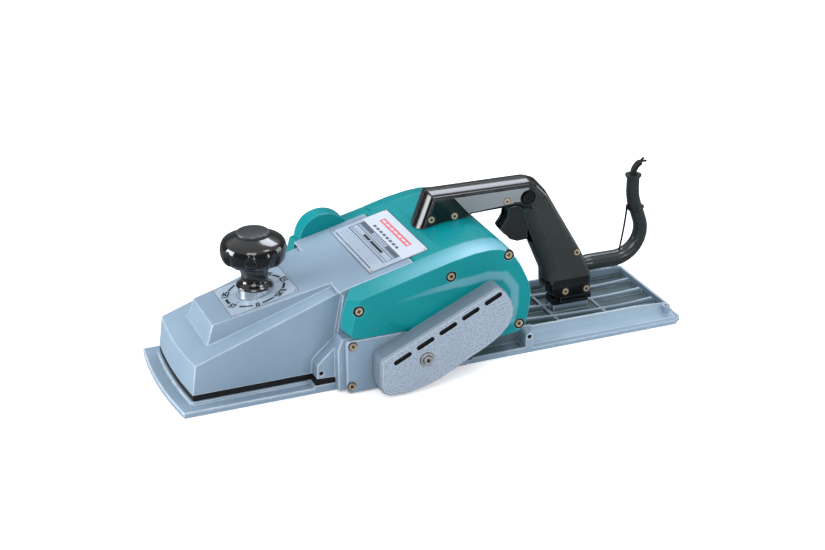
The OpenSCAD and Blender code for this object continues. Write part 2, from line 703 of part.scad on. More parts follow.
module belt_cover() color([0.66, 0.70, 0.76]) difference() {
  slot_half = 8.2;
  slot_r = 2.15;
  union() {
    along_y(-belt_face_y+2, -face_y-gap) belt2d();
    // bevelled outer edge
    hull() {
      along_y(-belt_face_y+1.9, -belt_face_y+2) belt2d();
      along_y(-belt_face_y, -belt_face_y+0.02) offset(delta = -1.9) belt2d();
    }
  }
  along_y(-belt_face_y+2.1, -pad_y+10) offset(delta = -2) belt2d();
  along_y(-pad_y-gap, -90) offset(delta = 0.3) pad2d(0);
  // five cooling slots along the upper edge
  for (i = [0:4]) translate([-6.1+i*25.4, 0, 45.1+i*12.4]) rotate([0, -26, 0]) {
    translate([-slot_half, -130, -slot_r]) cube([2*slot_half, 20, 2*slot_r]);
    for (x = [-slot_half, slot_half]) rod_y([x, 0], slot_r, -130, -110, $fn = 24);
  }
  rod_y(belt_screw, 2.6, -130, -100);
}
module belt_cover_screw() color([0.76, 0.70, 0.55]) {
  cross_screw(belt_screw, -belt_face_y-1.6, head_r = 4.4, head_h = 2.2, shank_r = 2, shank_l = 16);
  ring_y(belt_screw, 7.4, 2.3, -belt_face_y-1.5, -belt_face_y-0.1);
}

// ---------- belt drive ----------
module belt_path(offset_r) {
  hull() {
    translate(drum) circle(r = drum_pulley_r+offset_r);
    translate(motor) circle(r = motor_pulley_r+offset_r);
  }
}
module drive_belt() color([0.10, 0.10, 0.10])
  along_y(belt_mid_y-belt_w/2, belt_mid_y+belt_w/2) difference() { belt_path(2.3); belt_path(0.15); }
// Grooved pulley along Y; the rims stand out by flange
module pulley(pitch_r, bore_r, flange) {
  rotate([90, 0, 0]) rotate_extrude() difference() {
    translate([bore_r, -belt_w/2-pulley_rim])
      square([pitch_r+flange-bore_r, belt_w+2*pulley_rim]);
    translate([pitch_r, -belt_w/2-0.2]) square([6, belt_w+0.4]);
    for (i = [-2:2]) translate([pitch_r, i*2.6-0.7]) polygon([[0.1, 0], [-1.1, 0.7], [0.1, 1.4]]);
    translate([bore_r+4, belt_w/2-1.4]) square([max(1, pitch_r-bore_r-7), 6]);
  }
}
module drum_pulley() color(pulley_grey) at_xz(drum, belt_mid_y) pulley(drum_pulley_r, 6, 0);
module motor_pulley() color(pulley_grey) at_xz(motor, belt_mid_y) pulley(motor_pulley_r, 5, 3);
module drum_pulley_bolt() color(nut_grey) at_xz(drum, pulley_end_y-0.1) rotate([90, 0, 0]) {
  cylinder(r = 5.2, h = 1.3, $fn = 6);
  translate([0, 0, -9]) cylinder(r = 2, h = 9.1);
}
module motor_pulley_nut() color(nut_grey) at_xz(motor, pulley_end_y-0.1) rotate([90, 0, 0])
  difference() {
    cylinder(r = 7, h = 1.3, $fn = 6);
    translate([0, 0, -1]) cylinder(r = 3.1, h = 5);
  }

// ---------- cutter ----------
blade_seat = 14.2;          // blades and clamps start this far from the axis
blade_half = (drum_len-1)/2;
clamp_bolt_x = -4.5;
clamp_bolt_ys = [-60:30:60];
// Drum frame, turned so that its Z points along the tool
module at_drum() { at_xz(drum) rotate([0, 90, 0]) children(); }
// The same feature on both sides of the drum
module twice_round() { for (a = [0, 180]) rotate([0, a, 0]) children(); }
module cutter_drum() color([0.70, 0.71, 0.73]) at_drum() difference() {
  union() {
    rod_y([0, 0], drum_r, -drum_len/2, drum_len/2);
    rod_y([0, 0], 7.5, -92, 92);
    rod_y([0, 0], 5.98, -118, -91);
  }
  twice_round() {
    translate([-9, -90, 13.8]) cube([12.4, 180, 20]);
    translate([3, -90, 20.5]) cube([6, 180, 20]);
  }
  rod_y([0, 0], 2.05, -125, -105);
}
module planer_blades() color([0.80, 0.81, 0.83]) at_drum() twice_round()
  along_y(-blade_half, blade_half) polygon([[0.1, blade_seat], [3.2, blade_seat],
    [3.2, tip_r-3.4], [0.6, tip_r-0.1], [0.1, tip_r-0.1]]);
module blade_clamps() color([0.58, 0.59, 0.61]) at_drum() twice_round() difference() {
  intersection() {
    translate([-8.8, -blade_half, blade_seat]) cube([8.7, 2*blade_half, 14]);
    rod_y([0, 0], drum_r-0.2, -90, 90);
  }
  for (y = clamp_bolt_ys) translate([clamp_bolt_x, y, 10]) {
    cylinder(r = 2.2, h = 20, $fn = 32);
    translate([0, 0, 9.4]) cylinder(r = 3.6, h = 10, $fn = 32);
  }
}
module blade_bolts() color([0.35, 0.35, 0.37]) at_drum() twice_round()
  for (y = clamp_bolt_ys) translate([clamp_bolt_x, y, 14]) difference() {
    union() {
      cylinder(r = 2, h = 6, $fn = 32);
      translate([0, 0, 5.6]) cylinder(r = 3.4, h = 4.4, $fn = 32);
    }
    translate([0, 0, 8]) cylinder(r = 1.6, h = 5, $fn = 6);
  }

// ---------- ball bearings ----------
// Each: axis, middle y, outer radius, bore radius, width
drum_bearings = [[drum, -86, drum_bearing_r, 7.5, 11], [drum, 86, drum_bearing_r, 7.5, 11]];
motor_bearings = [[motor, -85.2, near_bearing_r, 6, 9.6], [motor, 85.4, far_bearing_r, 5, 9]];
all_bearings = concat(drum_bearings, motor_bearings);
function ball_r(b) = (b[2]-b[3])*0.27;
function ball_circle_r(b) = (b[2]+b[3])/2;
// Rings of the listed bearings, inner or outer
module races(bearings, inner) {
  for (b = bearings) {
    from_r = inner ? b[3] : ball_circle_r(b)+ball_r(b)*0.55;
    to_r = inner ? ball_circle_r(b)-ball_r(b)*0.55 : b[2];
    at_xz(b[0], b[1]) rotate([90, 0, 0]) rotate_extrude() difference() {
      translate([from_r, -b[4]/2]) square([to_r-from_r, b[4]]);
      translate([ball_circle_r(b), 0]) circle(r = ball_r(b)+run_gap);
    }
  }
}
module bearing_outer_rings() color(race_steel) races(all_bearings, false);
module drum_bearing_inner_rings() color(race_steel) races(drum_bearings, true);
module motor_bearing_inner_rings() color(race_steel) races(motor_bearings, true);
module bearing_balls() color([0.82, 0.83, 0.85]) for (b = all_bearings) for (a = [0:45:315])
  at_xz(b[0]+ball_circle_r(b)*[cos(a), sin(a)], b[1]) sphere(r = ball_r(b), $fn = 24);

// ---------- motor ----------
shaft_r = 6;
shaft_bore = shaft_r+run_gap;
armature_y = [-20, 30];     // ends of the armature core
stator_y = [-22, 32];       // ends of the stator core
// Brushes: [angle about the motor axis, outer end of the holder]
brushes = [[75, 61], [255, 41]];
// Brush frame: Z points outwards from the motor axis
module at_brush(b) { at_xz(motor, 53) rotate([0, 90-b[0], 0]) children(); }
module armature_shaft() color(bright_steel) {
  rod_y(motor, shaft_r, -100.5, 79);
  rod_y(motor, 4.98, pulley_end_y, 90);
  rod_y(motor, 3, pulley_end_y-1.2, pulley_end_y+0.1);
}
module armature_core() color(core_grey)
  along_y(armature_y[0], armature_y[1]) translate(motor) difference() {
    circle(r = 25.5);
    circle(r = shaft_bore);
    for (a = [0:30:330]) rotate(a) translate([19, -1.6]) square([8, 3.2]);
  }
module armature_winding() color(copper) {
  ring_y(motor, 21.5, 8.5, -30, armature_y[0]-gap);
  ring_y(motor, 21.5, 8.5, armature_y[1]+gap, 42);
}
module commutator() color([0.76, 0.52, 0.30]) along_y(43, 62) translate(motor) difference() {
  circle(r = 14);
  circle(r = shaft_bore);
  for (a = [0:20:340]) rotate(a) translate([12.6, -0.4]) square([3, 0.8]);
}
module cooling_fan() color([0.16, 0.16, 0.17]) {
  ring_y(motor, 37, shaft_bore, -58, -55.6);
  ring_y(motor, 11, shaft_bore, -58, -46);
  for (a = [0:24:336]) at_xz(motor, -57) rotate([0, a, 0])
    translate([14, 0, -0.8]) rotate([0, 12, 0]) cube([22, 9, 1.6]);
}
module stator_core() color(core_grey)
  along_y(stator_y[0], stator_y[1]) translate(motor) difference() {
    circle(r = 40);
    circle(r = 26.2);
    for (a = [0, 180]) for (s = [-1, 1]) rotate(a+s*48) translate([24, -4.5]) square([9, 9]);
  }
module stator_windings() color(copper) {
  ring_y(motor, 37.5, 28, -36, stator_y[0]-gap);
  ring_y(motor, 37.5, 28, stator_y[1]+gap, 44);
}
module air_baffle() color([0.20, 0.20, 0.21]) ring_y(motor, 39.9, 24, -40.5, -38.5);
module brush_holders() color([0.76, 0.60, 0.32]) for (b = brushes) at_brush(b) difference() {
  translate([0, 0, 16]) cylinder(r = 6.8, h = b[1]-16);
  translate([-4.2, -3.7, 10]) cube([8.4, 7.4, b[1]-20]);
  translate([0, 0, b[1]-11]) cylinder(r = 4.9, h = 20);
}
module carbon_brushes() color([0.14, 0.14, 0.15]) for (b = brushes)
  at_brush(b) translate([-4, -3.5, 14.3]) cube([8, 7, min(18, b[1]-27)]);
module brush_caps() color([0.08, 0.08, 0.08]) for (b = brushes)
  at_brush(b) translate([0, 0, b[1]-9]) difference() {
    union() {
      cylinder(r = 4.7, h = 9.2);
      translate([0, 0, 9.1]) cylinder(r = 6.6, h = 3.4);
    }
    translate([-7, -0.7, 11]) cube([14, 1.4, 3]);
  }

// ---------- handle ----------
grip_slope = 61.1;          // slope of the rear grip
cord_z = 55.5;              // height of the cord outlet
trigger_pivot = [186, 138.4];
pin_hole_r = 2;
lock_spot = [185.5, 153.6];
// Side outline
module handle2d() {
  offset(r = 4, $fn = 48) offset(delta = -4) difference() {
    polygon([[54, 134], [54, 133.6], [69.6, 175.6], [189, 173.8], [198, 171.5], [211, 156.2],
      [255, 79], [268.4, 49], [269, 22], [229, 22], [217.4, 29], [213, 41], [211.5, 56],
      [198.5, 86.4], [186, 116], [181, 133], [177, 141.6], [170, 143.6], [118, 143.6], [112, 140]]);
    // seat on the motor housing
    intersection() {
      offset(delta = 0.4)
        polygon(concat([for (i = [0:6]) motor_back[i]], [[60, 30], [27, 75]]));
      square([160, 142.2]);
    }
  }
}
// Far half of the grip's section, across its slope
grip_half = [[-46, 5], [-44.6, 9], [-40, 12.6], [-33, 15], [-26, grip_y], [-5, grip_y],
  [0.6, 12.6], [1.4, 9]];
// Far half of the top bar's section, as [y, z]
bar_half = [[grip_y, 20], [grip_y, 169.4], [13, 172.6], [7, 174.6]];
// Grip frame: Z runs up along the slope
module at_grip() { translate([211.2, 0, 154.5]) rotate([0, grip_slope-90, 0]) children(); }
module handle_solid() {
  intersection() {
    along_y(-20, 20) handle2d();
    union() {
      // top bar and front foot
      intersection() {
        along_x(40, 230) polygon(concat(bar_half, [[0, 175.8]], reflected(bar_half, -1, 1)));
        along_y(-20, 20)
          polygon([[40, 120], [40, 190], [230, 190], [216, 158], [190, 132], [150, 132]]);
      }
      // rear grip
      intersection() {
        at_grip() translate([0, 0, -170]) linear_extrude(height = 200)
          polygon(concat(grip_half, reflected(grip_half, 1, -1)));
        along_y(-20, 20) polygon([[150, 190], [300, 190], [300, 20], [150, 20]]);
      }
      // bottom block
      along_y(-grip_y, grip_y)
        polygon([[205, 20], [205, 44], [240, 44], [258, 47.5], [275, 47.5], [275, 20]]);
    }
  }
}
module handle_cavity() {
  intersection() {
    along_y(-12, 12) offset(delta = -grip_t-0.6) handle2d();
    along_y(-20, 20) union() {
      polygon([[140, 190], [300, 190], [300, 60], [150, 60]]);
      polygon([[110, 152], [110, 180], [150, 180], [150, 152]]);
    }
  }
  // trigger opening
  along_y(-9.8, 9.8) polygon([[158, 147], [190, 147], [197, 128], [199, 96], [184, 94],
    [160, 100], [150, 120]]);
  // cord outlet
  translate([240, 0, cord_z]) rotate([0, 90, 0]) cylinder(r = 9.3, h = 40);
  translate([225, 0, cord_z]) rotate([0, 90, 0]) cylinder(r = 6, h = 30);
}
// side is -1 for the left (-Y) half and 1 for the right
module handle_half(side) difference() {
  left = side < 0;
  intersection() {
    handle_solid();
    translate([0, left ? -40.05 : 0.05, 0]) cube([400, 40, 300]);
  }
  handle_cavity();
  for (p = handle_screw_spots) rod_y(p, 1.8+gap, -20, left ? 20 : 12);
  rod_y(trigger_pivot, pin_hole_r+0.1, -12, 12);
  // the left half takes the screw heads and the lock button
  if (left) {
    for (p = handle_screw_spots) rod_y(p, 4.2, -20, -grip_y+1.6);
    rod_y(lock_spot, 8, -20, -grip_y+2.6);
    rod_y(lock_spot, 5.7, -20, 0);
  }
  for (x = foot_bolt_x) translate([x, 0, 10]) cylinder(r = foot_bolt_r+gap, h = 26);
  for (p = top_bolts) translate([p[0], 0, 120]) cylinder(r = top_bolt_r+gap, h = 31);
}
module handle_left() color(handle_black) handle_half(-1);
module handle_right() color(handle_black) handle_half(1);
module handle_screws() color([0.78, 0.68, 0.54]) for (p = handle_screw_spots)
  cross_screw(p, -grip_y+1.5, head_r = 3.5, head_h = 1.9, shank_r = 1.7, shank_l = 22);
module handle_mount_bolts() color([0.45, 0.45, 0.47]) {
  for (x = foot_bolt_x) translate([x, 0, 0.6])
    socket_bolt(head_r = 5, head_h = 3, shank_r = foot_bolt_r, length = 26, socket_r = 2);
  for (p = top_bolts) at_xz(p)
    socket_bolt(head_r = 4.2, head_h = 3, shank_r = top_bolt_r, length = 18, socket_r = 1.7);
}

// ---------- switch and trigger ----------
module switch_body() color([0.18, 0.18, 0.19]) at_grip() translate([-31, -10, -58]) difference() {
  cube([24, 20, 40]);
  for (z = [-1, 33]) translate([4, -1, z]) cube([16, 4, 8]);
}
module trigger() color([0.11, 0.11, 0.12]) difference() {
  along_y(-9, 9) offset(r = 1.5, $fn = 32) offset(delta = -1.5) polygon([[166.5, 143], [188, 143],
    [191.5, 137], [189.5, 122], [189, 101.4], [177, 100.8], [168, 104.4], [159, 115],
    [156.8, 119], [160.6, 124], [164.6, 131], [165, 139]]);
  // hollowed finger face between two flanges
  along_y(-6, 6) polygon([[150, 150], [161.5, 141], [168, 138], [168, 130], [164.5, 122.5],
    [162, 118.6], [171, 108.4], [178, 104.6], [176, 96], [150, 96]]);
  rod_y(trigger_pivot, pin_hole_r+run_gap, -10, 10);
}
module trigger_pin() color(bright_steel) rod_y(trigger_pivot, pin_hole_r, -11.5, 11.5);
module trigger_spring() color(bright_steel) translate([190.4, 0, 114]) rotate([0, 90, 0])
  helix(coil_r = 3.2, length = 4.6, turns = 4, wire_r = 0.5);
module lock_button() color([0.07, 0.07, 0.07]) difference() {
  union() {
    rod_y(lock_spot, 5.6, -grip_y+0.3, -9.4);
    rod_y(lock_spot, 2.6, -9.5, -5);
    rod_y(lock_spot, 6.6, -11.4, -10);
  }
  rod_y(lock_spot, 3.8, -20, -grip_y+1.2);
}
module lock_spring() color(bright_steel) at_xz(lock_spot, -8.8) rotate([-90, 0, 0])
  helix(coil_r = 3.6, length = 7.6, turns = 4, wire_r = 0.45);

// ---------- knob and depth adjustment ----------
// Knob profile, as [radius, z]
knob_profile = [[6.1, 97], [18.6, 97], [19.8, 98.2], [19.7, 99.8], [17.4, 101.4], [15, 103.6],
  [13.9, 107], [14.2, 111], [16, 116.6], [18, 121], [20, 123.6], [24, 124.8], [29, 126.8],
  [33, 130.4], [34.8, 134.4], [knob_r, 139], [34.6, 144], [32.6, 148.4], [29.2, 152],
  [25, 154.4], [19, 155.8], [18, 155.8], [18, 153.6], [11, 153.6], [11, 148], [6.1, 148]];
module depth_knob() color([0.06, 0.06, 0.06]) at_knob() difference() {
  rotate_extrude($fn = 120) polygon(knob_profile);
  for (i = [0:knob_notches-1]) rotate([0, 0, i*360/knob_notches+22.4])
    translate([knob_r+3.2, 0, 118]) cylinder(r = 6.2, h = 27, $fn = 40);
}
module knob_cap() color([0.20, 0.21, 0.22]) at_knob() rotate_extrude()
  polygon([[0, 153.8], [17.6, 153.8], [17.6, 157.6], [16.6, 159.2], [10, 160.2], [0, 160.4]]);
module knob_collar() color([0.80, 0.82, 0.83]) difference() {
  intersection() {
    at_knob(60) cylinder(r = 18.2, h = 36.8);
    along_y(-30, 30)
      polygon([[-170, roof_z(-170)+gap], [-80, roof_z(-80)+gap], [-80, 130], [-170, 130]]);
  }
  at_knob(50) cylinder(r = 6.6, h = 60);
}
module depth_screw() color([0.66, 0.67, 0.69]) at_knob() difference() {
  union() {
    translate([0, 0, 7]) cylinder(r = 6, h = 145);
    translate([0, 0, 57.6]) cylinder(r = 10.5, h = 4.2);
  }
  translate([0, 0, 148]) cylinder(r = 3, h = 8, $fn = 6);
}
module depth_spring() color([0.70, 0.71, 0.73]) at_knob(33.6)
  helix(coil_r = 9.6, length = 22.4, turns = 5, wire_r = 1.3);

// ---------- plates on the roof ----------
// Rivets of each plate: x places, then distance from mid-width
scale_rivet_x = [-158, -90];
scale_rivet_y = 32;
name_rivet_x = [-14.4, 46];
name_rivet_y = 56.4;
// Plate lying on the roof slope, corners rounded in plan
module roof_plate(x0, x1, half_width, thick) {
  corner_r = 2;
  z0 = roof_z(x0)+0.02;
  z1 = roof_z(x1)+0.02;
  intersection() {
    along_y(-half_width, half_width) polygon([[x0, z0], [x1, z1], [x1, z1+thick], [x0, z0+thick]]);
    translate([0, 0, 60]) linear_extrude(height = 100)
      offset(r = corner_r, $fn = 32) offset(delta = -corner_r)
        translate([x0, -half_width]) square([x1-x0, 2*half_width]);
  }
}
module rivet_holes(xs, side_y, r, h) {
  for (x = xs) for (y = [-side_y, side_y]) translate([x, y, 50]) cylinder(r = r, h = h, $fn = 24);
}
module rivets(xs, side_y, lift, r, h) {
  for (x = xs) for (y = [-side_y, side_y]) translate([x, y, roof_z(x)]) rotate([0, -13.5, 0])
    translate([0, 0, lift]) cylinder(r = r, h = h, $fn = 24);
}
module scale_plate() color([0.72, 0.76, 0.79]) difference() {
  roof_plate(-161, -87, half_width = 35, thick = 0.15);
  at_knob(50) cylinder(r = 18.5, h = 80);
  rivet_holes(scale_rivet_x, scale_rivet_y, r = 1.3, h = 100);
}
module name_plate() color([0.86, 0.88, 0.89]) difference() {
  roof_plate(-17.5, 49, half_width = 59.6, thick = 0.9);
  rivet_holes(name_rivet_x, name_rivet_y, r = 1.4, h = 120);
  along_y(-80, 80) offset(delta = 0.03) housing2d();
}
module plate_rivets() color([0.78, 0.76, 0.70]) {
  rivets(scale_rivet_x, scale_rivet_y, lift = 0.35, r = 1.15, h = 0.7);
  rivets(name_rivet_x, name_rivet_y, lift = 0.9, r = 1.2, h = 0.8);
}

// ---------- cord ----------
function arc_xz(x, z, r, from_a, to_a, steps) =
  [for (i = [0:steps]) let (a = from_a+(to_a-from_a)*i/steps) [x+r*cos(a), 0, z+r*sin(a)]];
// Out of the handle, round an upward bend, then straight up
guard_path = concat([for (x = [254.6, 260, 263, 285]) [x, 0, cord_z]],
  arc_xz(304, cord_z+32.5, 32.5, -90, 20, 10), arc_xz(384.1, 138.4, 60, 200, 180, 3),
  [for (z = [146, 149, 151.5, 155]) [324.1, 0, z]]);
guard_last = len(guard_path)-1;
cord_path = concat([[228, 0, cord_z], [240, 0, cord_z]],
  [for (i = [1:guard_last]) guard_path[i]],
  [[324.6, 0, 160], [328, 0, 165.5], [334, 0, 169.5]]);
// Tapered guard with a thicker root and lip
module cord_guard() color([0.22, 0.25, 0.26]) hose(guard_path,
  [for (i = [0:guard_last]) i < 2 ? 9 : i > guard_last-2 ? 9.4 : 8.6-1.1*i/guard_last],
  [for (p = guard_path) cord_r+0.5]);
module power_cord() color([0.08, 0.08, 0.08]) tube(cord_path, [for (p = cord_path) cord_r], 16);

main_frame();
front_base();
base_gap_seal();
base_guide_pins();
rear_base();
rear_base_bolts();
side_plate();
side_plate_screws();
motor_housing();
side_cover();
side_cover_screws();
end_cover();
end_cover_screws();
chip_hood();
belt_cover();
belt_cover_screw();
drive_belt();
drum_pulley();
drum_pulley_bolt();
motor_pulley();
motor_pulley_nut();
cutter_drum();
planer_blades();
blade_clamps();
blade_bolts();
bearing_outer_rings();
bearing_balls();
drum_bearing_inner_rings();
motor_bearing_inner_rings();
armature_shaft();
armature_core();
armature_winding();
commutator();
cooling_fan();
stator_core();
stator_windings();
air_baffle();
brush_holders();
carbon_brushes();
brush_caps();
handle_left();
handle_right();
handle_screws();
handle_mount_bolts();
switch_body();
trigger();
trigger_pin();
trigger_spring();
lock_button();
lock_spring();
depth_knob();
knob_cap();
knob_collar();
depth_screw();
depth_spring();
scale_plate();
name_plate();
plate_rivets();
cord_guard();
power_cord();
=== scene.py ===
"""A hand-held electric planer, standing on its bases.

It lies along X with its front (the depth knob) towards -X, its left side towards -Y and +Z up.
Shapes are measured in millimetres; materials, lights and the camera are in metres.
"""

import math
import random

import bmesh
import bpy
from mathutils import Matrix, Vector

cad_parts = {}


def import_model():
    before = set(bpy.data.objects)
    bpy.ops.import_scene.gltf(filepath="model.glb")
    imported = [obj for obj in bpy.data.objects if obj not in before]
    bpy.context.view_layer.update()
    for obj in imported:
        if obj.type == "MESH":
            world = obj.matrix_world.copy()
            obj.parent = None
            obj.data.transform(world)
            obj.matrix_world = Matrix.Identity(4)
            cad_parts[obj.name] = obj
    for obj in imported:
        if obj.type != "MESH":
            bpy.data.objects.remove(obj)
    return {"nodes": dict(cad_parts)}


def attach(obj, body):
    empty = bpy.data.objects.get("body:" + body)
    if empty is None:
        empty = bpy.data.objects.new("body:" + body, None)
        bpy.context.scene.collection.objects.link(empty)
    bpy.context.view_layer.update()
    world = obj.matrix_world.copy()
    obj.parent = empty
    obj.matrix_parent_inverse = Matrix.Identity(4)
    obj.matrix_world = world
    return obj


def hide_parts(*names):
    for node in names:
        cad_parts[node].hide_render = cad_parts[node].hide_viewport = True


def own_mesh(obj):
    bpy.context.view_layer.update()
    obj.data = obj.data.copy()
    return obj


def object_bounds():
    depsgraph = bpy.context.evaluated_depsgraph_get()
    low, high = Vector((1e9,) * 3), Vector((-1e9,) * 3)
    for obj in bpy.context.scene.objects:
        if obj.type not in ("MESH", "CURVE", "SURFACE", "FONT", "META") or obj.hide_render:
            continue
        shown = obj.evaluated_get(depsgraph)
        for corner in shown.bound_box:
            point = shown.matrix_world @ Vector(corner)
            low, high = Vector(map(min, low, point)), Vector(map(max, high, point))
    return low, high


MM = 0.001
X, Y, Z = 0, 1, 2

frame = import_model()
cad_lo, cad_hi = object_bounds()
nodes = frame["nodes"]

# ------------------------------------------------------------------ shared places (mm)
# Screw centres, (x, z), all on the left side
COVER_SCREWS = [(-43.4, 93.7), (59.4, 115.1), (125.2, 128.4), (139.3, 46.1)]
PLATE_SCREWS = [(-51.1, 55.6), (-53, 9.8), (58, 39), (26, 16.5)]
BELT_SCREWS = [(21.2, 39)]
HANDLE_SCREWS = [(71, 146), (98, 146), (160, 153.2), (248.4, 78), (235.8, 31.8), (262.4, 31)]
LOCK_CENTRE = (185.5, 153.6)
KNOB_X = -124.0
CORD_Z = 55.5

# The slanting row of slots in the belt cover
SLOT_ORIGIN = (-6.1, 45.1)
SLOT_ANGLE = 26
SLOT_PITCH = 28.265


# ------------------------------------------------------------------ material builder
def srgb(red, green, blue):
    def linear(value):
        value /= 255.0
        return value / 12.92 if value <= 0.04045 else ((value + 0.055) / 1.055) ** 2.4
    return (linear(red), linear(green), linear(blue), 1.0)


class Material:
    """A Principled material whose textures follow object coordinates, in metres."""

    INPUTS = {
        "colour": "Base Color", "rough": "Roughness", "normal": "Normal", "metal": "Metallic",
        "spec": "Specular IOR Level", "coat": "Coat Weight", "coat_rough": "Coat Roughness",
        "glow": "Emission Color", "glow_strength": "Emission Strength",
    }

    def __init__(self, name):
        self.made = bpy.data.materials.new(name)
        self.made.use_nodes = True
        self.tree = self.made.node_tree
        self.tree.nodes.clear()
        output = self.node("ShaderNodeOutputMaterial")
        self.surface = self.node("ShaderNodeBsdfPrincipled")
        self.link(self.surface.outputs[0], output.inputs[0])
        self.coords = self.node("ShaderNodeTexCoord").outputs["Object"]

    def node(self, kind, **settings):
        made = self.tree.nodes.new(kind)
        for key, value in settings.items():
            setattr(made, key, value)
        return made

    def link(self, source, socket):
        self.tree.links.new(source, socket)

    def feed(self, socket, value):
        """Sets a socket to a constant, or links it to another node's output."""
        if isinstance(value, (int, float, tuple)):
            socket.default_value = value
        else:
            self.link(value, socket)

    def shade(self, **values):
        for key, value in values.items():
            self.feed(self.surface.inputs[self.INPUTS[key]], value)

    def noise(self, scale, detail=3.0, rough=0.55, stretch=None):
        texture = self.node("ShaderNodeTexNoise")
        texture.inputs["Scale"].default_value = scale
        texture.inputs["Detail"].default_value = detail
        texture.inputs["Roughness"].default_value = rough
        coords = self.coords
        if stretch:
            mapping = self.node("ShaderNodeMapping")
            mapping.inputs["Scale"].default_value = stretch
            self.link(coords, mapping.inputs["Vector"])
            coords = mapping.outputs[0]
        self.link(coords, texture.inputs["Vector"])
        return texture.outputs["Fac"]

    def voronoi(self, scale):
        texture = self.node("ShaderNodeTexVoronoi")
        texture.inputs["Scale"].default_value = scale
        self.link(self.coords, texture.inputs["Vector"])
        return texture.outputs["Distance"]

    def ramp(self, value, low, high, over=(0.3, 0.7)):
        """Blends from one colour to another as the value crosses a range."""
        made = self.node("ShaderNodeValToRGB")
        for element, place, colour in zip(made.color_ramp.elements, over, (low, high)):
            element.position = place
            element.color = colour
        self.link(value, made.inputs[0])
        return made.outputs[0]

    def remap(self, value, to, over=(0.3, 0.7)):
        made = self.node("ShaderNodeMapRange")
        made.inputs["From Min"].default_value = over[0]
        made.inputs["From Max"].default_value = over[1]
        made.inputs["To Min"].default_value = to[0]
        made.inputs["To Max"].default_value = to[1]
        self.link(value, made.inputs["Value"])
        return made.outputs[0]

    def rise(self, value, over):
        return self.remap(value, to=(0.0, 1.0), over=over)

    def fall(self, value, over):
        return self.remap(value, to=(1.0, 0.0), over=over)

    def band(self, value, rise, fall):
        """1 between two limits, fading out across each."""
        return self.times(self.rise(value, over=rise), self.fall(value, over=fall))

    def near_middle(self, over):
        """1 round the plane Y = 0."""
        return self.fall(self.absolute(self.position("Y")), over=over)

    def mix(self, amount, under, top):
        made = self.node("ShaderNodeMix", data_type="RGBA")
        for i, value in ((0, amount), (6, under), (7, top)):
            self.feed(made.inputs[i], value)
        return made.outputs[2]

    def math(self, operation, *values):
        made = self.node("ShaderNodeMath", operation=operation)
        for i, value in enumerate(values):
            self.feed(made.inputs[i], value)
        return made.outputs[0]

    def times(self, first, second):
        return self.math("MULTIPLY", first, second)

    def plus(self, first, second):
        return self.math("ADD", first, second)

    def minus(self, first, second):
        return self.math("SUBTRACT", first, second)

    def absolute(self, value):
        return self.math("ABSOLUTE", value)

    def length(self, first, second):
        return self.math("SQRT", self.plus(self.times(first, first), self.times(second, second)))

    def bump(self, height, strength, distance, normal=None):
        made = self.node("ShaderNodeBump")
        made.inputs["Strength"].default_value = strength
        made.inputs["Distance"].default_value = distance
        self.link(height, made.inputs["Height"])
        if normal is not None:
            self.link(normal, made.inputs["Normal"])
        return made.outputs[0]

    def edge(self, radius=0.0022):
        """1 on sharp edges, 0 on flat faces."""
        bevel = self.node("ShaderNodeBevel", samples=4)
        bevel.inputs["Radius"].default_value = radius
        geometry = self.node("ShaderNodeNewGeometry")
        dot = self.node("ShaderNodeVectorMath", operation="DOT_PRODUCT")
        self.link(bevel.outputs[0], dot.inputs[0])
        self.link(geometry.outputs["Normal"], dot.inputs[1])
        return self.fall(dot.outputs["Value"], over=(0.90, 0.995))

    def patchy_edge(self, radius=0.0016, scale=70, least=0.4):
        """Sharp edges, broken up by noise."""
        patches = self.noise(scale=scale, detail=5, rough=0.7)
        return self.times(self.edge(radius), self.remap(patches, to=(least, 1.0), over=(0.36, 0.60)))

    def split(self, vector):
        separate = self.node("ShaderNodeSeparateXYZ")
        self.link(vector, separate.inputs[0])
        return separate.outputs

    def position(self, axis):
        """The object-space coordinate along one axis, in metres."""
        return self.split(self.coords)[axis]

    def facing(self, kind):
        """The X, Y and Z parts of a surface normal."""
        return self.split(self.node("ShaderNodeNewGeometry").outputs[kind])


# ------------------------------------------------------------------ painted metal
ENAMEL = {"spec": 0.45, "coat": 0.12, "coat_rough": 0.25}


def shade_and_mark_rear_base(mat, base, edge):
    """Painted shade in the hollows of the rear base and in its front pocket, and a black rectangle on
    its centre line.
    """
    x, z = mat.position("X"), mat.position("Z")
    # The rib tops slope down from 16 mm to 10 mm; painted shade lies below them
    rib_top = mat.remap(x, to=(0.0160, 0.0100), over=(0.150, 0.300))
    deep = mat.rise(mat.minus(rib_top, z), over=(0.0008, 0.0050))
    inside = mat.times(mat.near_middle(over=(0.0545, 0.0562)), mat.rise(x, over=(0.101, 0.104)))
    deep = mat.times(deep, inside)
    patches = mat.remap(mat.noise(scale=34, detail=4), to=(0.78, 0.95))
    base = mat.mix(mat.times(deep, patches), base, srgb(52, 68, 68))
    # Painted shade in the pocket at the front of the rear base
    front = mat.times(mat.near_middle(over=(0.0770, 0.0776)),
                      mat.band(x, rise=(0.060, 0.070), fall=(0.154, 0.156)))
    base = mat.mix(mat.times(front, 0.6), base, srgb(70, 86, 88))
    black = mat.times(mat.near_middle(over=(0.0106, 0.0110)), mat.rise(z, over=(0.0132, 0.0140)))
    black = mat.times(black, mat.band(x, rise=(0.2232, 0.2236), fall=(0.2684, 0.2688)))
    base = mat.mix(black, base, srgb(12, 14, 14))
    return base, mat.times(edge, mat.minus(1.0, black))


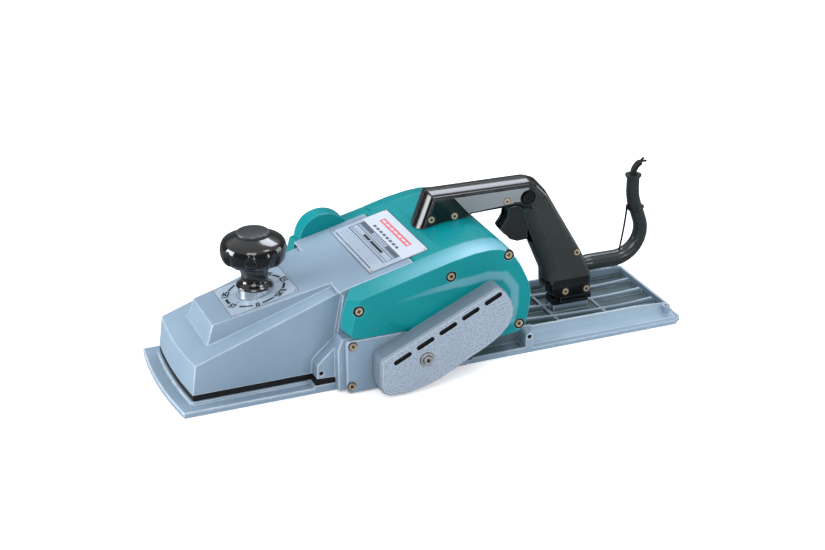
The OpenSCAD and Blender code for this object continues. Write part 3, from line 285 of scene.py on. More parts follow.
def painted_casting(name, dark, light, edge_tint_amount, rear=False):
    mat = Material(name)
    clouds = mat.noise(scale=9, detail=4)
    flecks = mat.noise(scale=760, detail=2)
    base = mat.ramp(clouds, srgb(*dark), srgb(*light))
    flecks = mat.remap(flecks, to=(0.0, 0.05), over=(0.45, 0.75))
    base = mat.mix(flecks, base, srgb(205, 216, 228))
    edge = mat.patchy_edge(radius=0.0022, scale=55, least=0.55)
    if rear:
        base, edge = shade_and_mark_rear_base(mat, base, edge)
    # Paler sharp edges: wear with a painted highlight
    base = mat.mix(mat.times(edge, edge_tint_amount), base, srgb(226, 234, 242))
    peel = mat.bump(mat.noise(scale=620, detail=2), strength=0.08, distance=0.0003)
    mat.shade(
        colour=base, **ENAMEL,
        rough=mat.remap(mat.noise(scale=40), to=(0.34, 0.46)),
        normal=mat.bump(mat.noise(scale=85), strength=0.05, distance=0.0008, normal=peel))
    return mat.made


def blacken_slots(mat, base, facing_y):
    """Painted shade: black round each slot of the belt cover, and along the row on whatever faces
    inward.
    """
    cosine, sine = 0.89879, 0.43837     # of SLOT_ANGLE
    start_x, start_z = (value * MM for value in SLOT_ORIGIN)
    half_pitch = SLOT_PITCH / 2 * MM

    def along_and_across(x_factor, z_factor):
        return mat.plus(mat.times(mat.plus(mat.position("X"), -start_x), x_factor),
                        mat.times(mat.minus(mat.position("Z"), start_z), z_factor))

    away = mat.absolute(along_and_across(-sine, cosine))
    row = mat.times(mat.fall(away, over=(0.0022, 0.0024)),
                    mat.rise(mat.position("X"), over=(-0.0180, -0.0175)))
    row = mat.times(row, mat.fall(mat.position("X"), over=(0.1065, 0.1070)))
    row = mat.times(row, mat.rise(facing_y, over=(-0.98, -0.95)))
    base = mat.mix(row, base, srgb(10, 12, 14))

    # Distance from the middle line of the nearest slot
    along = along_and_across(cosine, sine)
    repeat = mat.math("MODULO", mat.plus(along, half_pitch), SLOT_PITCH * MM)
    offset = mat.absolute(mat.minus(repeat, half_pitch))
    half_slot = 0.0082
    offset = mat.math("MAXIMUM", mat.minus(offset, half_slot), 0.0)
    distance = mat.length(offset, away)
    ends = mat.band(along, rise=(-0.0118, -0.0116), fall=(0.1246, 0.1248))
    # Painted shade round the nearest slot
    near = mat.times(mat.fall(distance, over=(0.0026, 0.0029)), ends)
    return mat.mix(near, base, srgb(12, 14, 17))


def hammertone(name):
    """Speckled enamel on the face; painted shade makes the side walls plainer and darker and the slots
    black; wear with a painted highlight on sharp edges.
    """
    mat = Material(name)
    cells = mat.voronoi(scale=620)
    grain = mat.noise(scale=640, detail=4, rough=0.7)
    speck = mat.times(grain, mat.remap(cells, to=(0.8, 1.2), over=(0.0, 0.5)))
    base = mat.ramp(speck, srgb(84, 100, 117), srgb(162, 176, 191), over=(0.38, 0.60))
    clouds = mat.remap(mat.noise(scale=16), to=(0.15, 0.45))
    base = mat.mix(clouds, base, srgb(130, 146, 163))
    facing_y = mat.facing("True Normal")["Y"]
    # Painted shade: the side walls are darker and plainer than the face
    wall = mat.minus(1.0, mat.fall(facing_y, over=(-0.86, -0.70)))
    base = mat.mix(wall, base, srgb(106, 121, 136))
    # Paler sharp edges: wear with a painted highlight
    edge_wear_and_highlight = 0.7
    base = mat.mix(mat.times(mat.edge(), edge_wear_and_highlight), base, srgb(222, 230, 238))
    base = blacken_slots(mat, base, facing_y)
    fine = mat.bump(grain, strength=0.16, distance=0.0004)
    mat.shade(
        colour=base, **ENAMEL, rough=mat.remap(grain, to=(0.36, 0.52)),
        normal=mat.bump(cells, strength=0.22, distance=0.0005, normal=fine))
    return mat.made


# ------------------------------------------------------------------ plastic, metal and ink
def plastic_finish(mat, rough, grain, grain_scale=900):
    """Scuffed gloss and a fine grain over a slight waviness."""
    scuff = mat.noise(scale=260, detail=6, rough=0.75, stretch=(1.0, 1.0, 3.0))
    waves = mat.bump(mat.noise(scale=60, detail=2), strength=0.05, distance=0.0008)
    mat.shade(
        rough=mat.remap(scuff, to=rough, over=(0.35, 0.7)),
        normal=mat.bump(mat.noise(scale=grain_scale, detail=2), strength=grain,
                        distance=0.0003, normal=waves))


def plastic(name, dark, light, rough, grain, coat, spec, edge_tint_amount=0.0, edge_tint_colour=None, grain_scale=900):
    mat = Material(name)
    base = mat.ramp(mat.noise(scale=14), srgb(*dark), srgb(*light))
    # Tinted sharp edges: wear, with a painted highlight where the tint is paler
    if edge_tint_amount:
        base = mat.mix(mat.times(mat.patchy_edge(), edge_tint_amount), base, srgb(*edge_tint_colour))
    mat.shade(colour=base, spec=spec, coat=coat, coat_rough=0.12)
    plastic_finish(mat, rough, grain, grain_scale)
    return mat.made


# A painted highlight, a pale band round the raised pad of the side cover:
# x, z (mm) and the width of the stretch that starts there
CHAMFER = [
    (-2, 96.5, 2.4), (29, 101.5, 3.6), (68, 107, 4.6), (101, 110, 5.0), (121, 106, 6.0),
    (132, 90, 6.4), (132, 69, 6.0), (129, 53, None),
]


def near_chamfer(mat, x, z):
    """1 along the CHAMFER line, 0 away from it."""
    band = None
    for (x0, z0, width), (x1, z1, _) in zip(CHAMFER, CHAMFER[1:]):
        run, climb = (x1 - x0) * MM, (z1 - z0) * MM
        square = run * run + climb * climb
        from_x, from_z = mat.minus(x, x0 * MM), mat.minus(z, z0 * MM)
        part = mat.plus(mat.times(from_x, run / square), mat.times(from_z, climb / square))
        part = mat.math("MINIMUM", mat.math("MAXIMUM", part, 0.0), 1.0)
        distance = mat.length(mat.minus(from_x, mat.times(part, run)),
                              mat.minus(from_z, mat.times(part, climb)))
        near = mat.fall(distance, over=(width * 0.55 * MM, width * 1.05 * MM))
        band = near if band is None else mat.math("MAXIMUM", band, near)
    return band


def cover_plastic(name):
    """Teal moulding of the side cover: a painted highlight on the shoulder, another round its pad, and
    wear with a painted highlight on sharp edges.
    """
    shoulder_highlight_strength = chamfer_highlight_strength = 0.72
    edge_wear_and_highlight = 0.5
    mat = Material(name)
    base = mat.ramp(mat.noise(scale=14), srgb(0, 126, 132), srgb(0, 134, 139))
    facing = mat.facing("Normal")
    x, z = mat.position("X"), mat.position("Z")
    # Painted highlight on the shoulder
    shoulder = mat.times(
        mat.band(facing["Y"], rise=(-0.95, -0.84), fall=(-0.14, -0.02)),
        mat.times(mat.remap(facing["Z"], to=(0.1, 1.0), over=(-0.35, 0.5)),
                  mat.remap(x, to=(0.06, 1.0), over=(-0.030, 0.075))))
    base = mat.mix(mat.times(shoulder, shoulder_highlight_strength), base, srgb(134, 188, 210))
    # Painted highlight round the pad
    chamfer = mat.times(near_chamfer(mat, x, z),
                        mat.fall(mat.position("Y"), over=(-0.0945, -0.0930)))
    chamfer = mat.times(chamfer, mat.remap(x, to=(0.05, 1.0), over=(-0.002, 0.060)))
    base = mat.mix(mat.times(chamfer, chamfer_highlight_strength), base, srgb(104, 160, 176))
    # Paler sharp edges: wear with a painted highlight
    base = mat.mix(mat.times(mat.patchy_edge(), edge_wear_and_highlight), base, srgb(130, 196, 208))
    mat.shade(colour=base, spec=0.26)
    plastic_finish(mat, rough=(0.27, 0.31), grain=0.012)
    return mat.made


def metal(name, light, dark, rough, scale, metallic=1.0, stretch=None):
    mat = Material(name)
    scratches = mat.noise(scale=scale, detail=4, rough=0.7, stretch=stretch)
    fine = mat.noise(scale=scale * 2, detail=2, stretch=stretch)
    mat.shade(
        colour=mat.ramp(mat.noise(scale=scale / 8), srgb(*light), srgb(*dark), over=(0.3, 0.75)),
        metal=metallic,
        rough=mat.remap(scratches, to=(rough - 0.08, rough + 0.12)),
        normal=mat.bump(fine, strength=0.06, distance=0.0002))
    return mat.made


def ink(name, colour):
    mat = Material(name)
    dark = srgb(*colour)
    light = tuple(min(1.0, value * 1.25 + 0.004) for value in dark[:3]) + (1.0,)
    mat.shade(
        colour=mat.ramp(mat.noise(scale=900), dark, light, over=(0.35, 0.7)), spec=0.35,
        rough=mat.remap(mat.noise(scale=300), to=(0.40, 0.55)),
        normal=mat.bump(mat.noise(scale=1200, detail=2), strength=0.08, distance=0.0002))
    return mat.made


# Dark and light colour, roughness range, grain strength, coat, specular,
# then the tint of sharp edges, wear with a painted highlight where paler: amount and colour, and grain
# scale
PLASTICS = {
    "teal_plastic": ((0, 128, 134), (0, 136, 141), (0.27, 0.31), 0.012, 0.0, 0.26,
                     0.35, (120, 190, 205)),
    "handle_plastic": ((6, 7, 7), (11, 12, 12), (0.12, 0.18), 0.012, 0.30, 0.45,
                       0.35, (150, 156, 162)),
    "handle_panel": ((118, 125, 130), (136, 143, 148), (0.40, 0.52), 0.35, 0.05, 0.5,
                     0.2, (190, 195, 196), 1500),
    "handle_grain": ((38, 44, 43), (48, 55, 53), (0.34, 0.46), 0.30, 0.05, 0.45,
                     0.25, (120, 126, 126), 1300),
    "knob_phenolic": ((5, 5, 6), (9, 9, 10), (0.07, 0.13), 0.01, 0.6, 0.5),
    "knob_cap_grey": ((36, 40, 45), (48, 52, 57), (0.28, 0.38), 0.04, 0.1, 0.5,
                      0.5, (190, 196, 200)),
    "black_part": ((7, 7, 8), (13, 13, 14), (0.28, 0.40), 0.06, 0.1, 0.4, 0.12, (90, 92, 94)),
    "trigger_plastic": ((26, 29, 29), (36, 39, 39), (0.16, 0.26), 0.03, 0.2, 0.5,
                        0.4, (150, 154, 156)),
    "rubber_black": ((9, 9, 10), (16, 16, 17), (0.5, 0.68), 0.2, 0.0, 0.4),
    "rubber_grey": ((30, 36, 37), (40, 46, 47), (0.20, 0.30), 0.05, 0.15, 0.5),
    "carbon": ((30, 30, 32), (44, 44, 46), (0.5, 0.7), 0.3, 0.0, 0.5),
    "plate_alu": ((156, 171, 188), (169, 183, 199), (0.30, 0.42), 0.03, 0.1, 0.5,
                  0.5, (120, 130, 142)),
    "plate_dial": ((148, 165, 183), (160, 176, 193), (0.30, 0.42), 0.03, 0.1, 0.5,
                   0.5, (215, 224, 234)),
    "plate_white": ((188, 197, 208), (198, 206, 216), (0.30, 0.42), 0.03, 0.1, 0.5),
}
# Light and dark colour, roughness, noise scale, then metallic and the noise stretch
METALS = {
    "screw_silver": ((208, 210, 208), (164, 168, 170), 0.24, 700, 0.6),
    "screw_nickel_handle": ((226, 206, 178), (186, 158, 126), 0.30, 900, 0.45),
    "screw_nickel": ((222, 204, 176), (176, 150, 118), 0.26, 900, 0.5),
    "plated_steel": ((196, 199, 203), (165, 168, 172), 0.24, 500),
    "dark_steel": ((84, 86, 90), (60, 62, 66), 0.4, 500),
    "lamination": ((120, 122, 126), (86, 88, 92), 0.45, 200, 1.0, (1, 60, 1)),
    "copper": ((196, 118, 70), (150, 84, 48), 0.3, 600, 1.0, (1, 1, 8)),
    "brass_part": ((200, 165, 92), (166, 132, 70), 0.3, 500),
    "ring_silver": ((236, 240, 244), (216, 221, 226), 0.22, 200),
    "pulley_alu": ((170, 173, 177), (140, 143, 147), 0.36, 400),
}
INKS = {
    "print_black": (14, 17, 22), "print_grey": (72, 84, 98),
    "print_light_grey": (132, 146, 164), "print_red": (206, 92, 104),
}

materials = {
    "cast_paint": painted_casting("cast_paint", (122, 144, 164), (134, 156, 175), edge_tint_amount=0.85),
    "cast_paint_rear": painted_casting("cast_paint_rear", (124, 146, 165), (136, 158, 176),
                                       edge_tint_amount=0.6, rear=True),
    "teal_plastic_cover": cover_plastic("teal_plastic_cover"),
    "hammer_paint": hammertone("hammer_paint"),
}
materials.update({name: plastic(name, *values) for name, values in PLASTICS.items()})
materials.update({name: metal(name, *values) for name, values in METALS.items()})
materials.update({name: ink(name, colour) for name, colour in INKS.items()})

# The CAD nodes that wear each material
NODES_IN = {
    "cast_paint": "main_frame front_base side_plate",
    "cast_paint_rear": "rear_base",
    "hammer_paint": "belt_cover",
    "teal_plastic": "motor_housing end_cover chip_hood",
    "teal_plastic_cover": "side_cover",
    "rubber_black": "base_gap_seal drive_belt power_cord",
    "rubber_grey": "cord_guard",
    "plated_steel": "base_guide_pins planer_blades bearing_outer_rings bearing_balls "
                    "drum_bearing_inner_rings motor_bearing_inner_rings armature_shaft "
                    "trigger_pin trigger_spring lock_spring depth_screw depth_spring",
    "dark_steel": "rear_base_bolts drum_pulley_bolt motor_pulley_nut blade_bolts "
                  "handle_mount_bolts",
    "screw_nickel": "side_plate_screws side_cover_screws end_cover_screws plate_rivets",
    "screw_nickel_handle": "handle_screws",
    "screw_silver": "belt_cover_screw",
    "pulley_alu": "drum_pulley motor_pulley cutter_drum",
    "lamination": "blade_clamps armature_core stator_core",
    "copper": "armature_winding commutator stator_windings",
    "black_part": "cooling_fan air_baffle brush_caps switch_body lock_button",
    "brass_part": "brush_holders",
    "carbon": "carbon_brushes",
    "handle_plastic": "handle_left handle_right",
    "trigger_plastic": "trigger",
    "knob_phenolic": "depth_knob",
    "knob_cap_grey": "knob_cap",
    "ring_silver": "knob_collar",
    "plate_dial": "scale_plate",
    "plate_alu": "name_plate",
}
MATERIAL_OF = {node: name for name, listed in NODES_IN.items() for node in listed.split()}


# ------------------------------------------------------------------ finish of the CAD nodes
def smooth_group(angle):
    """Geometry nodes that shade smooth across edges up to an angle in degrees."""
    group = bpy.data.node_groups.new(f"smooth_{angle}", "GeometryNodeTree")
    for direction in ("INPUT", "OUTPUT"):
        group.interface.new_socket("Geometry", in_out=direction,
                                   socket_type="NodeSocketGeometry")
    start, end = group.nodes.new("NodeGroupInput"), group.nodes.new("NodeGroupOutput")
    face = group.nodes.new("GeometryNodeSetShadeSmooth")
    edge = group.nodes.new("GeometryNodeSetShadeSmooth")
    edge.domain = "EDGE"
    edge_angle = group.nodes.new("GeometryNodeInputMeshEdgeAngle")
    compare = group.nodes.new("FunctionNodeCompare")
    compare.data_type = "FLOAT"
    compare.operation = "LESS_EQUAL"
    compare.inputs[1].default_value = math.radians(angle)
    group.links.new(start.outputs[0], face.inputs[0])
    group.links.new(face.outputs[0], edge.inputs[0])
    group.links.new(edge_angle.outputs[0], compare.inputs[0])
    group.links.new(compare.outputs[0], edge.inputs["Shade Smooth"])
    group.links.new(edge.outputs[0], end.inputs[0])
    return group


SMOOTH = {angle: smooth_group(angle) for angle in (28, 40, 60)}


def add_smooth(obj, angle=40):
    obj.modifiers.new("smooth", "NODES").node_group = SMOOTH[angle]


def add_weld(obj, distance):
    obj.modifiers.new("weld", "WELD").merge_threshold = distance


def add_weighted_normals(obj):
    obj.modifiers.new("weighted", "WEIGHTED_NORMAL").keep_sharp = True


def soften(obj, width):
    """Welds a CAD node, joins its coplanar triangles and rounds its sharp edges by a width."""
    add_weld(obj, 2.5e-5)
    planar = obj.modifiers.new("planar", "DECIMATE")
    planar.decimate_type = "DISSOLVE"
    planar.angle_limit = math.radians(0.4)
    if width:
        bevel = obj.modifiers.new("round", "BEVEL")
        bevel.limit_method = "ANGLE"
        bevel.angle_limit = math.radians(32)
        bevel.width = width * MM
        bevel.segments = 2
        bevel.use_clamp_overlap = False
        bevel.loop_slide = False
    add_smooth(obj)
    add_weighted_normals(obj)


# Bevel widths (mm); other nodes keep sharp edges
ROUNDING = {
    "main_frame": 0.7, "front_base": 0.7, "rear_base": 0.5, "side_plate": 0.6,
    "belt_cover": 0.5, "side_cover": 0.6, "motor_housing": 0.6, "end_cover": 0.8,
    "chip_hood": 1.2, "trigger": 0.6, "name_plate": 0.15, "knob_cap": 0.3,
}
for name, node in nodes.items():
    node.data.materials.clear()
    node.data.materials.append(materials[MATERIAL_OF[name]])
for name, node in nodes.items():
    soften(node, ROUNDING.get(name, 0))


# ------------------------------------------------------------------ mesh helpers (mm)
def new_object(name, mesh):
    obj = bpy.data.objects.new(name, mesh)
    bpy.context.scene.collection.objects.link(obj)
    return obj


def build(name, shape, material, body="body", replaces=(), smooth=40):
    """An object from (points, faces) with one material, riding a body."""
    points, faces = shape
    mesh = bpy.data.meshes.new(name)
    mesh.from_pydata([tuple(value * MM for value in point) for point in points], [], faces)
    mesh.validate()
    mesh.materials.append(materials[material])
    mesh.update()
    obj = new_object(name, mesh)
    if smooth:
        add_smooth(obj, smooth)
    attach(obj, body)
    if replaces:
        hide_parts(*replaces)
    return obj


def face_outward(mesh):
    work = bmesh.new()
    work.from_mesh(mesh)
    bmesh.ops.recalc_face_normals(work, faces=work.faces)
    work.to_mesh(mesh)
    work.free()


def join(shapes):
    points, faces = [], []
    for more_points, more_faces in shapes:
        start = len(points)
        points += more_points
        faces += [tuple(start + k for k in face) for face in more_faces]
    return points, faces


def at_level(outline, axis, level):
    """Places a flat outline in space, at a level along the missing axis."""
    return [point[:axis] + (level,) + point[axis:] for point in outline]


def solid(first, last):
    """Points, side faces and end faces of a solid between two matching loops."""
    count = len(first)
    sides = [[i, (i + 1) % count, (i + 1) % count + count, i + count] for i in range(count)]
    ends = [list(range(count))[::-1], list(range(count, 2 * count))]
    return first + last, sides, ends


def block(outline, axis, start, end, flip_ends=False):
    """A solid listed ends first."""
    points, sides, ends = solid(at_level(outline, axis, start), at_level(outline, axis, end))
    if flip_ends:
        ends = [face[::-1] for face in ends]
    return points, ends + sides


def ring_faces(count, size):
    """Faces round a closed profile of some size that is repeated count times in a circle."""
    return [(i * size + k, (i + 1) % count * size + k,
             (i + 1) % count * size + (k + 1) % size, i * size + (k + 1) % size)
            for i in range(count) for k in range(size)]


def circle(centre, radius, count):
    angles = [2 * math.pi * i / count for i in range(count)]
    return [(centre[0] + radius * math.cos(angle), centre[1] + radius * math.sin(angle))
            for angle in angles]


def rect(x0, x1, y0, y1):
    return [(x0, y0), (x1, y0), (x1, y1), (x0, y1)]


def direction(start, end):
    distance = math.hypot(end[0] - start[0], end[1] - start[1])
    return ((end[0] - start[0]) / distance, (end[1] - start[1]) / distance)


def ring_points(corners, radii, insets, depths, steps=6):
    """Moves each edge of a closed outline inward by its inset and rounds the corners.

    Insets and depths belong to the edge after each corner. Gives (x, depth, z) points, always
    steps + 1 to a corner.
    """
    count = len(corners)
    area = sum(x0 * z1 - x1 * z0 for (x0, z0), (x1, z1) in zip(corners, corners[1:] + corners[:1]))
    sense = 1.0 if area > 0 else -1.0
    ways = [direction(corners[i], corners[(i + 1) % count]) for i in range(count)]
    normals = [(sense * z, -sense * x) for x, z in ways]
    moved, turns = [], []
    for i, (x, z) in enumerate(corners):
        way0, way1, out0, out1 = ways[i - 1], ways[i], normals[i - 1], normals[i]
        inset0, inset1 = insets[i - 1], insets[i]
        turn = sense * math.atan2(way0[0] * way1[1] - way0[1] * way1[0],
                                  way0[0] * way1[0] + way0[1] * way1[1])
        turns.append(turn)
        if abs(turn) > math.radians(35):
            # A real corner: where the two moved edges meet
            cross = out0[0] * out1[1] - out0[1] * out1[0]
            moved.append((x + (-inset0 * out1[1] + inset1 * out0[1]) / cross,
                          z + (-inset1 * out0[0] + inset0 * out1[0]) / cross))
        else:
            shift = (inset0 + inset1) / 2 / (1 + out0[0] * out1[0] + out0[1] * out1[1])
            moved.append((x - (out0[0] + out1[0]) * shift, z - (out0[1] + out1[1]) * shift))
    points = []
    for i, corner in enumerate(moved):
        before, after = moved[i - 1], moved[(i + 1) % count]
        inset = (insets[i - 1] + insets[i]) / 2
        radius = max(radii[i] - inset, 0.25) if turns[i] > 0 else radii[i] + inset
        cut = min(radius * math.tan(abs(turns[i]) / 2),
                  0.45 * math.dist(corner, before), 0.45 * math.dist(corner, after))
        back, ahead = direction(corner, before), direction(corner, after)
        start = [corner[k] + back[k] * cut for k in (0, 1)]
        end = [corner[k] + ahead[k] * cut for k in (0, 1)]
        for step in range(steps + 1):
            part = step / steps
            x, z = [(1 - part) ** 2 * start[k] + 2 * part * (1 - part) * corner[k]
                    + part * part * end[k] for k in (0, 1)]
            points.append((x, depths[i - 1] * (1 - part) + depths[i] * part, z))
    return points


def cutter(name, outline, axis, start, end):
    """An unlinked solid for carve."""
    points, sides, ends = solid(at_level(outline, axis, start), at_level(outline, axis, end))
    mesh = bpy.data.meshes.new(name)
    mesh.from_pydata([tuple(value * MM for value in point) for point in points], [], sides + ends)
    return bpy.data.objects.new(name, mesh)


def carve(obj, cutters):
    """Subtracts each cutter from a mesh with an exact boolean and keeps the result."""
    for tool in cutters:
        face_outward(tool.data)
        bpy.context.scene.collection.objects.link(tool)
        cut = obj.modifiers.new("cut", "BOOLEAN")
        cut.operation = "DIFFERENCE"
        cut.solver = "EXACT"
        cut.object = tool
    bpy.context.view_layer.update()
    graph = bpy.context.evaluated_depsgraph_get()
    mesh = bpy.data.meshes.new_from_object(
        obj.evaluated_get(graph), preserve_all_data_layers=True, depsgraph=graph)
    obj.modifiers.clear()
    obj.data = mesh
    for tool in cutters:
        bpy.data.objects.remove(tool)


# ------------------------------------------------------------------ handle
# Corner x, z, corner radius, and the kind of the edge that starts there
HANDLE_OUTLINE = [
    (54.6, 134.9, 1.0, "T"), (69.8, 175.4, 4.5, "T"), (189.0, 173.8, 14.0, "T"),
    (199.0, 170.0, 12.0, "T"), (211.5, 155.4, 12.0, "K"), (255.0, 79.0, 26.0, "K"),
    (268.4, 49.0, 12.0, "U"), (268.9, 22.3, 2.5, "U"), (229.0, 22.3, 7.0, "U"),
    (217.4, 29.5, 8.0, "U"), (213.0, 42.0, 12.0, "H"), (211.4, 57.0, 25.0, "F"),
    (198.5, 86.4, 30.0, "F"), (186.0, 116.0, 25.0, "F"), (181.0, 133.0, 12.0, "F"),
    (176.5, 141.8, 5.0, "H"), (169.0, 143.7, 5.0, "U"), (119.0, 143.7, 2.5, "U"),
    (112.6, 142.1, 1.0, "N"), (103.0, 142.3, 2.0, "N"), (85.0, 141.1, 2.0, "N"),
    (60.0, 136.5, 2.0, "N"),
]
# Cross-section at each kind of edge, from the middle plane outward:
# how far the outline is inset, and the distance from Y = 0
HANDLE_SECTIONS = {
    # the front end and the top
    "T": ([0, .4, 1.2, 2.1, 3.1, 4.4, 5.5, 6.6, 6.9, 8.1, 8.4, 10.5],
          [0, 4, 7, 10, 12.6, 14.2, 15.0, 15.4, 14.5, 14.5, 15.35, 15.5]),
    # the lower rear foot and the straight underside
    "U": ([0, 0, 0, .15, .5, 1.1, 1.9, 2.9, 3.0, 3.1, 3.2, 4.2],
          [0, 4, 7, 10, 12.6, 14, 15, 15.4, 15.42, 15.44, 15.46, 15.5]),
    # the front of the grip
    "F": ([0, 0, .6, 2.3, 6, 9.5, 12.6, 13.8, 14.0, 14.7, 14.9, 16.2],
          [0, 4, 7, 10, 12.6, 14, 14.8, 14.95, 14.2, 14.2, 15.4, 15.5]),
    # the back of the grip
    "K": ([0, 0, .2, .5, 1.0, 3.0, 4.6, 5.4, 5.6, 6.6, 6.8, 9],
          [0, 4, 7, 10, 12.6, 14.4, 15.1, 15.4, 14.8, 14.8, 15.4, 15.5]),
    # the underside of the front end
    "N": ([0, 0, 0, 0, 0, 0, .05, .1, .15, .2, .25, .4],
          [0, 4, 7, 10, 12.6, 14, 15, 15.4, 15.42, 15.44, 15.46, 15.5]),
}
# Halfway between underside and grip
HANDLE_SECTIONS["H"] = tuple(
    [(under + front) / 2 for under, front in zip(HANDLE_SECTIONS["U"][i], HANDLE_SECTIONS["F"][i])]
    for i in (0, 1))
SECTION_RINGS = 12
HANDLE_CORNERS = [(x, z) for x, z, _, _ in HANDLE_OUTLINE]
HANDLE_RADII = [radius for _, _, radius, _ in HANDLE_OUTLINE]
HANDLE_KINDS = [kind for _, _, _, kind in HANDLE_OUTLINE]
TRIGGER_GAP = [(158, 147), (190, 147), (197, 128), (199, 96), (184, 94), (160, 100), (150, 120)]

# Where the surface finish changes: a slanting line at the front, and two square ones
SLANT_POINT, SLANT_NORMAL = (111.2, 150.7), (13.5, 11.5)
PANEL_END_X = 186.5
GRIP_LOW_Z = 46.8
PLAIN, PANEL, GRAIN = 0, 1, 2


def handle_finish(face):
    """The material slot for one face of the handle."""
    centre = face.calc_center_median() / MM
    if abs(face.normal.y) > 0.93 and abs(centre.y) > 15.3 and face.calc_area() > 3e-5:
        before_slant = ((centre.x - SLANT_POINT[0]) * SLANT_NORMAL[0]
                        + (centre.z - SLANT_POINT[1]) * SLANT_NORMAL[1]) < 0
        if centre.z < GRIP_LOW_Z or (before_slant and centre.z > 130):
            return PLAIN
        return PANEL if centre.x < PANEL_END_X and centre.z > 140 else GRAIN
    return GRAIN if GRIP_LOW_Z < centre.z < 140 and centre.x > 150 else PLAIN


def handle_shell(name, side):
    """The outer form of one half as a closed mesh; side is -1 for left, 1 for right."""
    work = bmesh.new()
    rings = []
    for level in range(SECTION_RINGS):
        ring = ring_points(HANDLE_CORNERS, HANDLE_RADII,
                           [HANDLE_SECTIONS[kind][0][level] for kind in HANDLE_KINDS],
                           [HANDLE_SECTIONS[kind][1][level] for kind in HANDLE_KINDS])
        rings.append([work.verts.new((x * MM, side * max(y, 0.06) * MM, z * MM))
                      for x, y, z in ring])
    count = len(rings[0])
    for inner, outer in zip(rings, rings[1:]):
        for i in range(count):
            j = (i + 1) % count
            work.faces.new((inner[i], inner[j], outer[j], outer[i]))
    work.faces.new(rings[0])
    work.faces.new(rings[-1])
    bmesh.ops.remove_doubles(work, verts=work.verts, dist=2e-5)
    bmesh.ops.dissolve_degenerate(work, edges=work.edges, dist=1e-6)
    bmesh.ops.recalc_face_normals(work, faces=work.faces)
    for point, normal in (((SLANT_POINT[0], 0, SLANT_POINT[1]),
                           (SLANT_NORMAL[0], 0, SLANT_NORMAL[1])),
                          ((PANEL_END_X, 0, 150), (1, 0, 0)),
                          ((240, 0, GRIP_LOW_Z), (0, 0, 1))):
        bmesh.ops.bisect_plane(work, geom=work.verts[:] + work.edges[:] + work.faces[:],
                               plane_co=Vector(point) * MM, plane_no=Vector(normal))
    for face in work.faces:
        face.material_index = handle_finish(face)
    mesh = bpy.data.meshes.new(name)
    work.to_mesh(mesh)
    work.free()
    for material in ("handle_plastic", "handle_panel", "handle_grain"):
        mesh.materials.append(materials[material])
    return mesh


def handle_cutters(side):
    wall = 4.1
    count = len(HANDLE_CORNERS)
    cavity = ring_points(HANDLE_CORNERS, HANDLE_RADII, [wall] * count, [0] * count, steps=3)
    pocket = [(x, z) for x, _, z in cavity if z > 62 and x > 142]
    top_pocket = [(112, 152), (150, 152), (150, 169.5), (112, 169.5)]
    cuts = [
        cutter("cut_trigger", TRIGGER_GAP, Y, -9.8, 9.8),
        cutter("cut_pocket", pocket, Y, -10.5, 10.5),
        cutter("cut_pocket_top", top_pocket, Y, -10.5, 10.5),
    ]
    for screw in HANDLE_SCREWS:
        cuts.append(cutter("cut_shank", circle(screw, 1.95, 20), Y, -20, 12))
        if side < 0:
            cuts.append(cutter("cut_head", circle(screw, 4.3, 36), Y, -20, -13.9))
    if side < 0:
        cuts.append(cutter("cut_lock", circle(LOCK_CENTRE, 9.4, 48), Y, -20, -12.9))
        cuts.append(cutter("cut_lock_bore", circle(LOCK_CENTRE, 6.8, 40), Y, -14, 0))
    cuts.append(cutter("cut_pin", circle((186, 138.4), 2.1, 20), Y, -12, 12))
    cuts.append(cutter("cut_cord", circle((0, CORD_Z), 9.4, 36), X, 240, 290))
    cuts.append(cutter("cut_cord_in", circle((0, CORD_Z), 6.0, 36), X, 222, 245))
    for x in (232, 258):
        cuts.append(cutter("cut_bolt", circle((x, 0), 2.7, 28), Z, 10, 36))
    for x in (62.5, 78):
        cuts.append(cutter("cut_bolt", circle((x, 0), 2.4, 28), Z, 120, 147))
    return cuts


def handle_half(name, side, replaced):
    obj = new_object(name, handle_shell(name, side))
    carve(obj, handle_cutters(side))
    add_weld(obj, 1e-5)
    add_smooth(obj, 28)
    add_weighted_normals(obj)
    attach(obj, "body")
    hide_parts(replaced)


handle_half("handle_half_left", -1, "handle_left")
handle_half("handle_half_right", 1, "handle_right")


# ------------------------------------------------------------------ depth knob
# Closed turned profile: radius, z
KNOB_PROFILE = [
    (6.2, 97.2), (18.4, 97.2), (19.5, 97.9), (19.8, 98.8), (19.3, 99.9), (17.2, 101.6),
    (15.2, 103.6), (14.2, 105.6), (13.9, 108), (14.2, 111.4), (15.4, 115.6), (17.2, 119.8),
    (18.8, 122.2), (20.6, 123.6), (24, 124.4), (27, 125), (29.4, 125.9), (31.2, 127.0),
    (32.6, 128.6), (33.5, 130.3), (34.1, 132.0), (34.6, 133.8), (34.9, 135.6), (35.1, 137.4),
    (35.2, 139.0), (35.15, 140.6), (35.0, 142.0), (34.7, 143.4), (34.2, 145.2), (33.4, 147.2),
    (32.2, 149.0), (30.6, 150.4), (28, 151.8), (25, 153.1), (22, 154.2), (19.4, 155.2),
    (18.6, 155.5), (18.1, 155.3), (18.0, 153.7), (11, 153.7), (11, 148), (6.2, 148),
]
KNOB_SEGMENTS = 240
SCALLOPS = 8
SCALLOP_TURN = 22.4
SCALLOP_DEPTH = 3.6


def unit_clamp(value):
    return max(0.0, min(1.0, value))


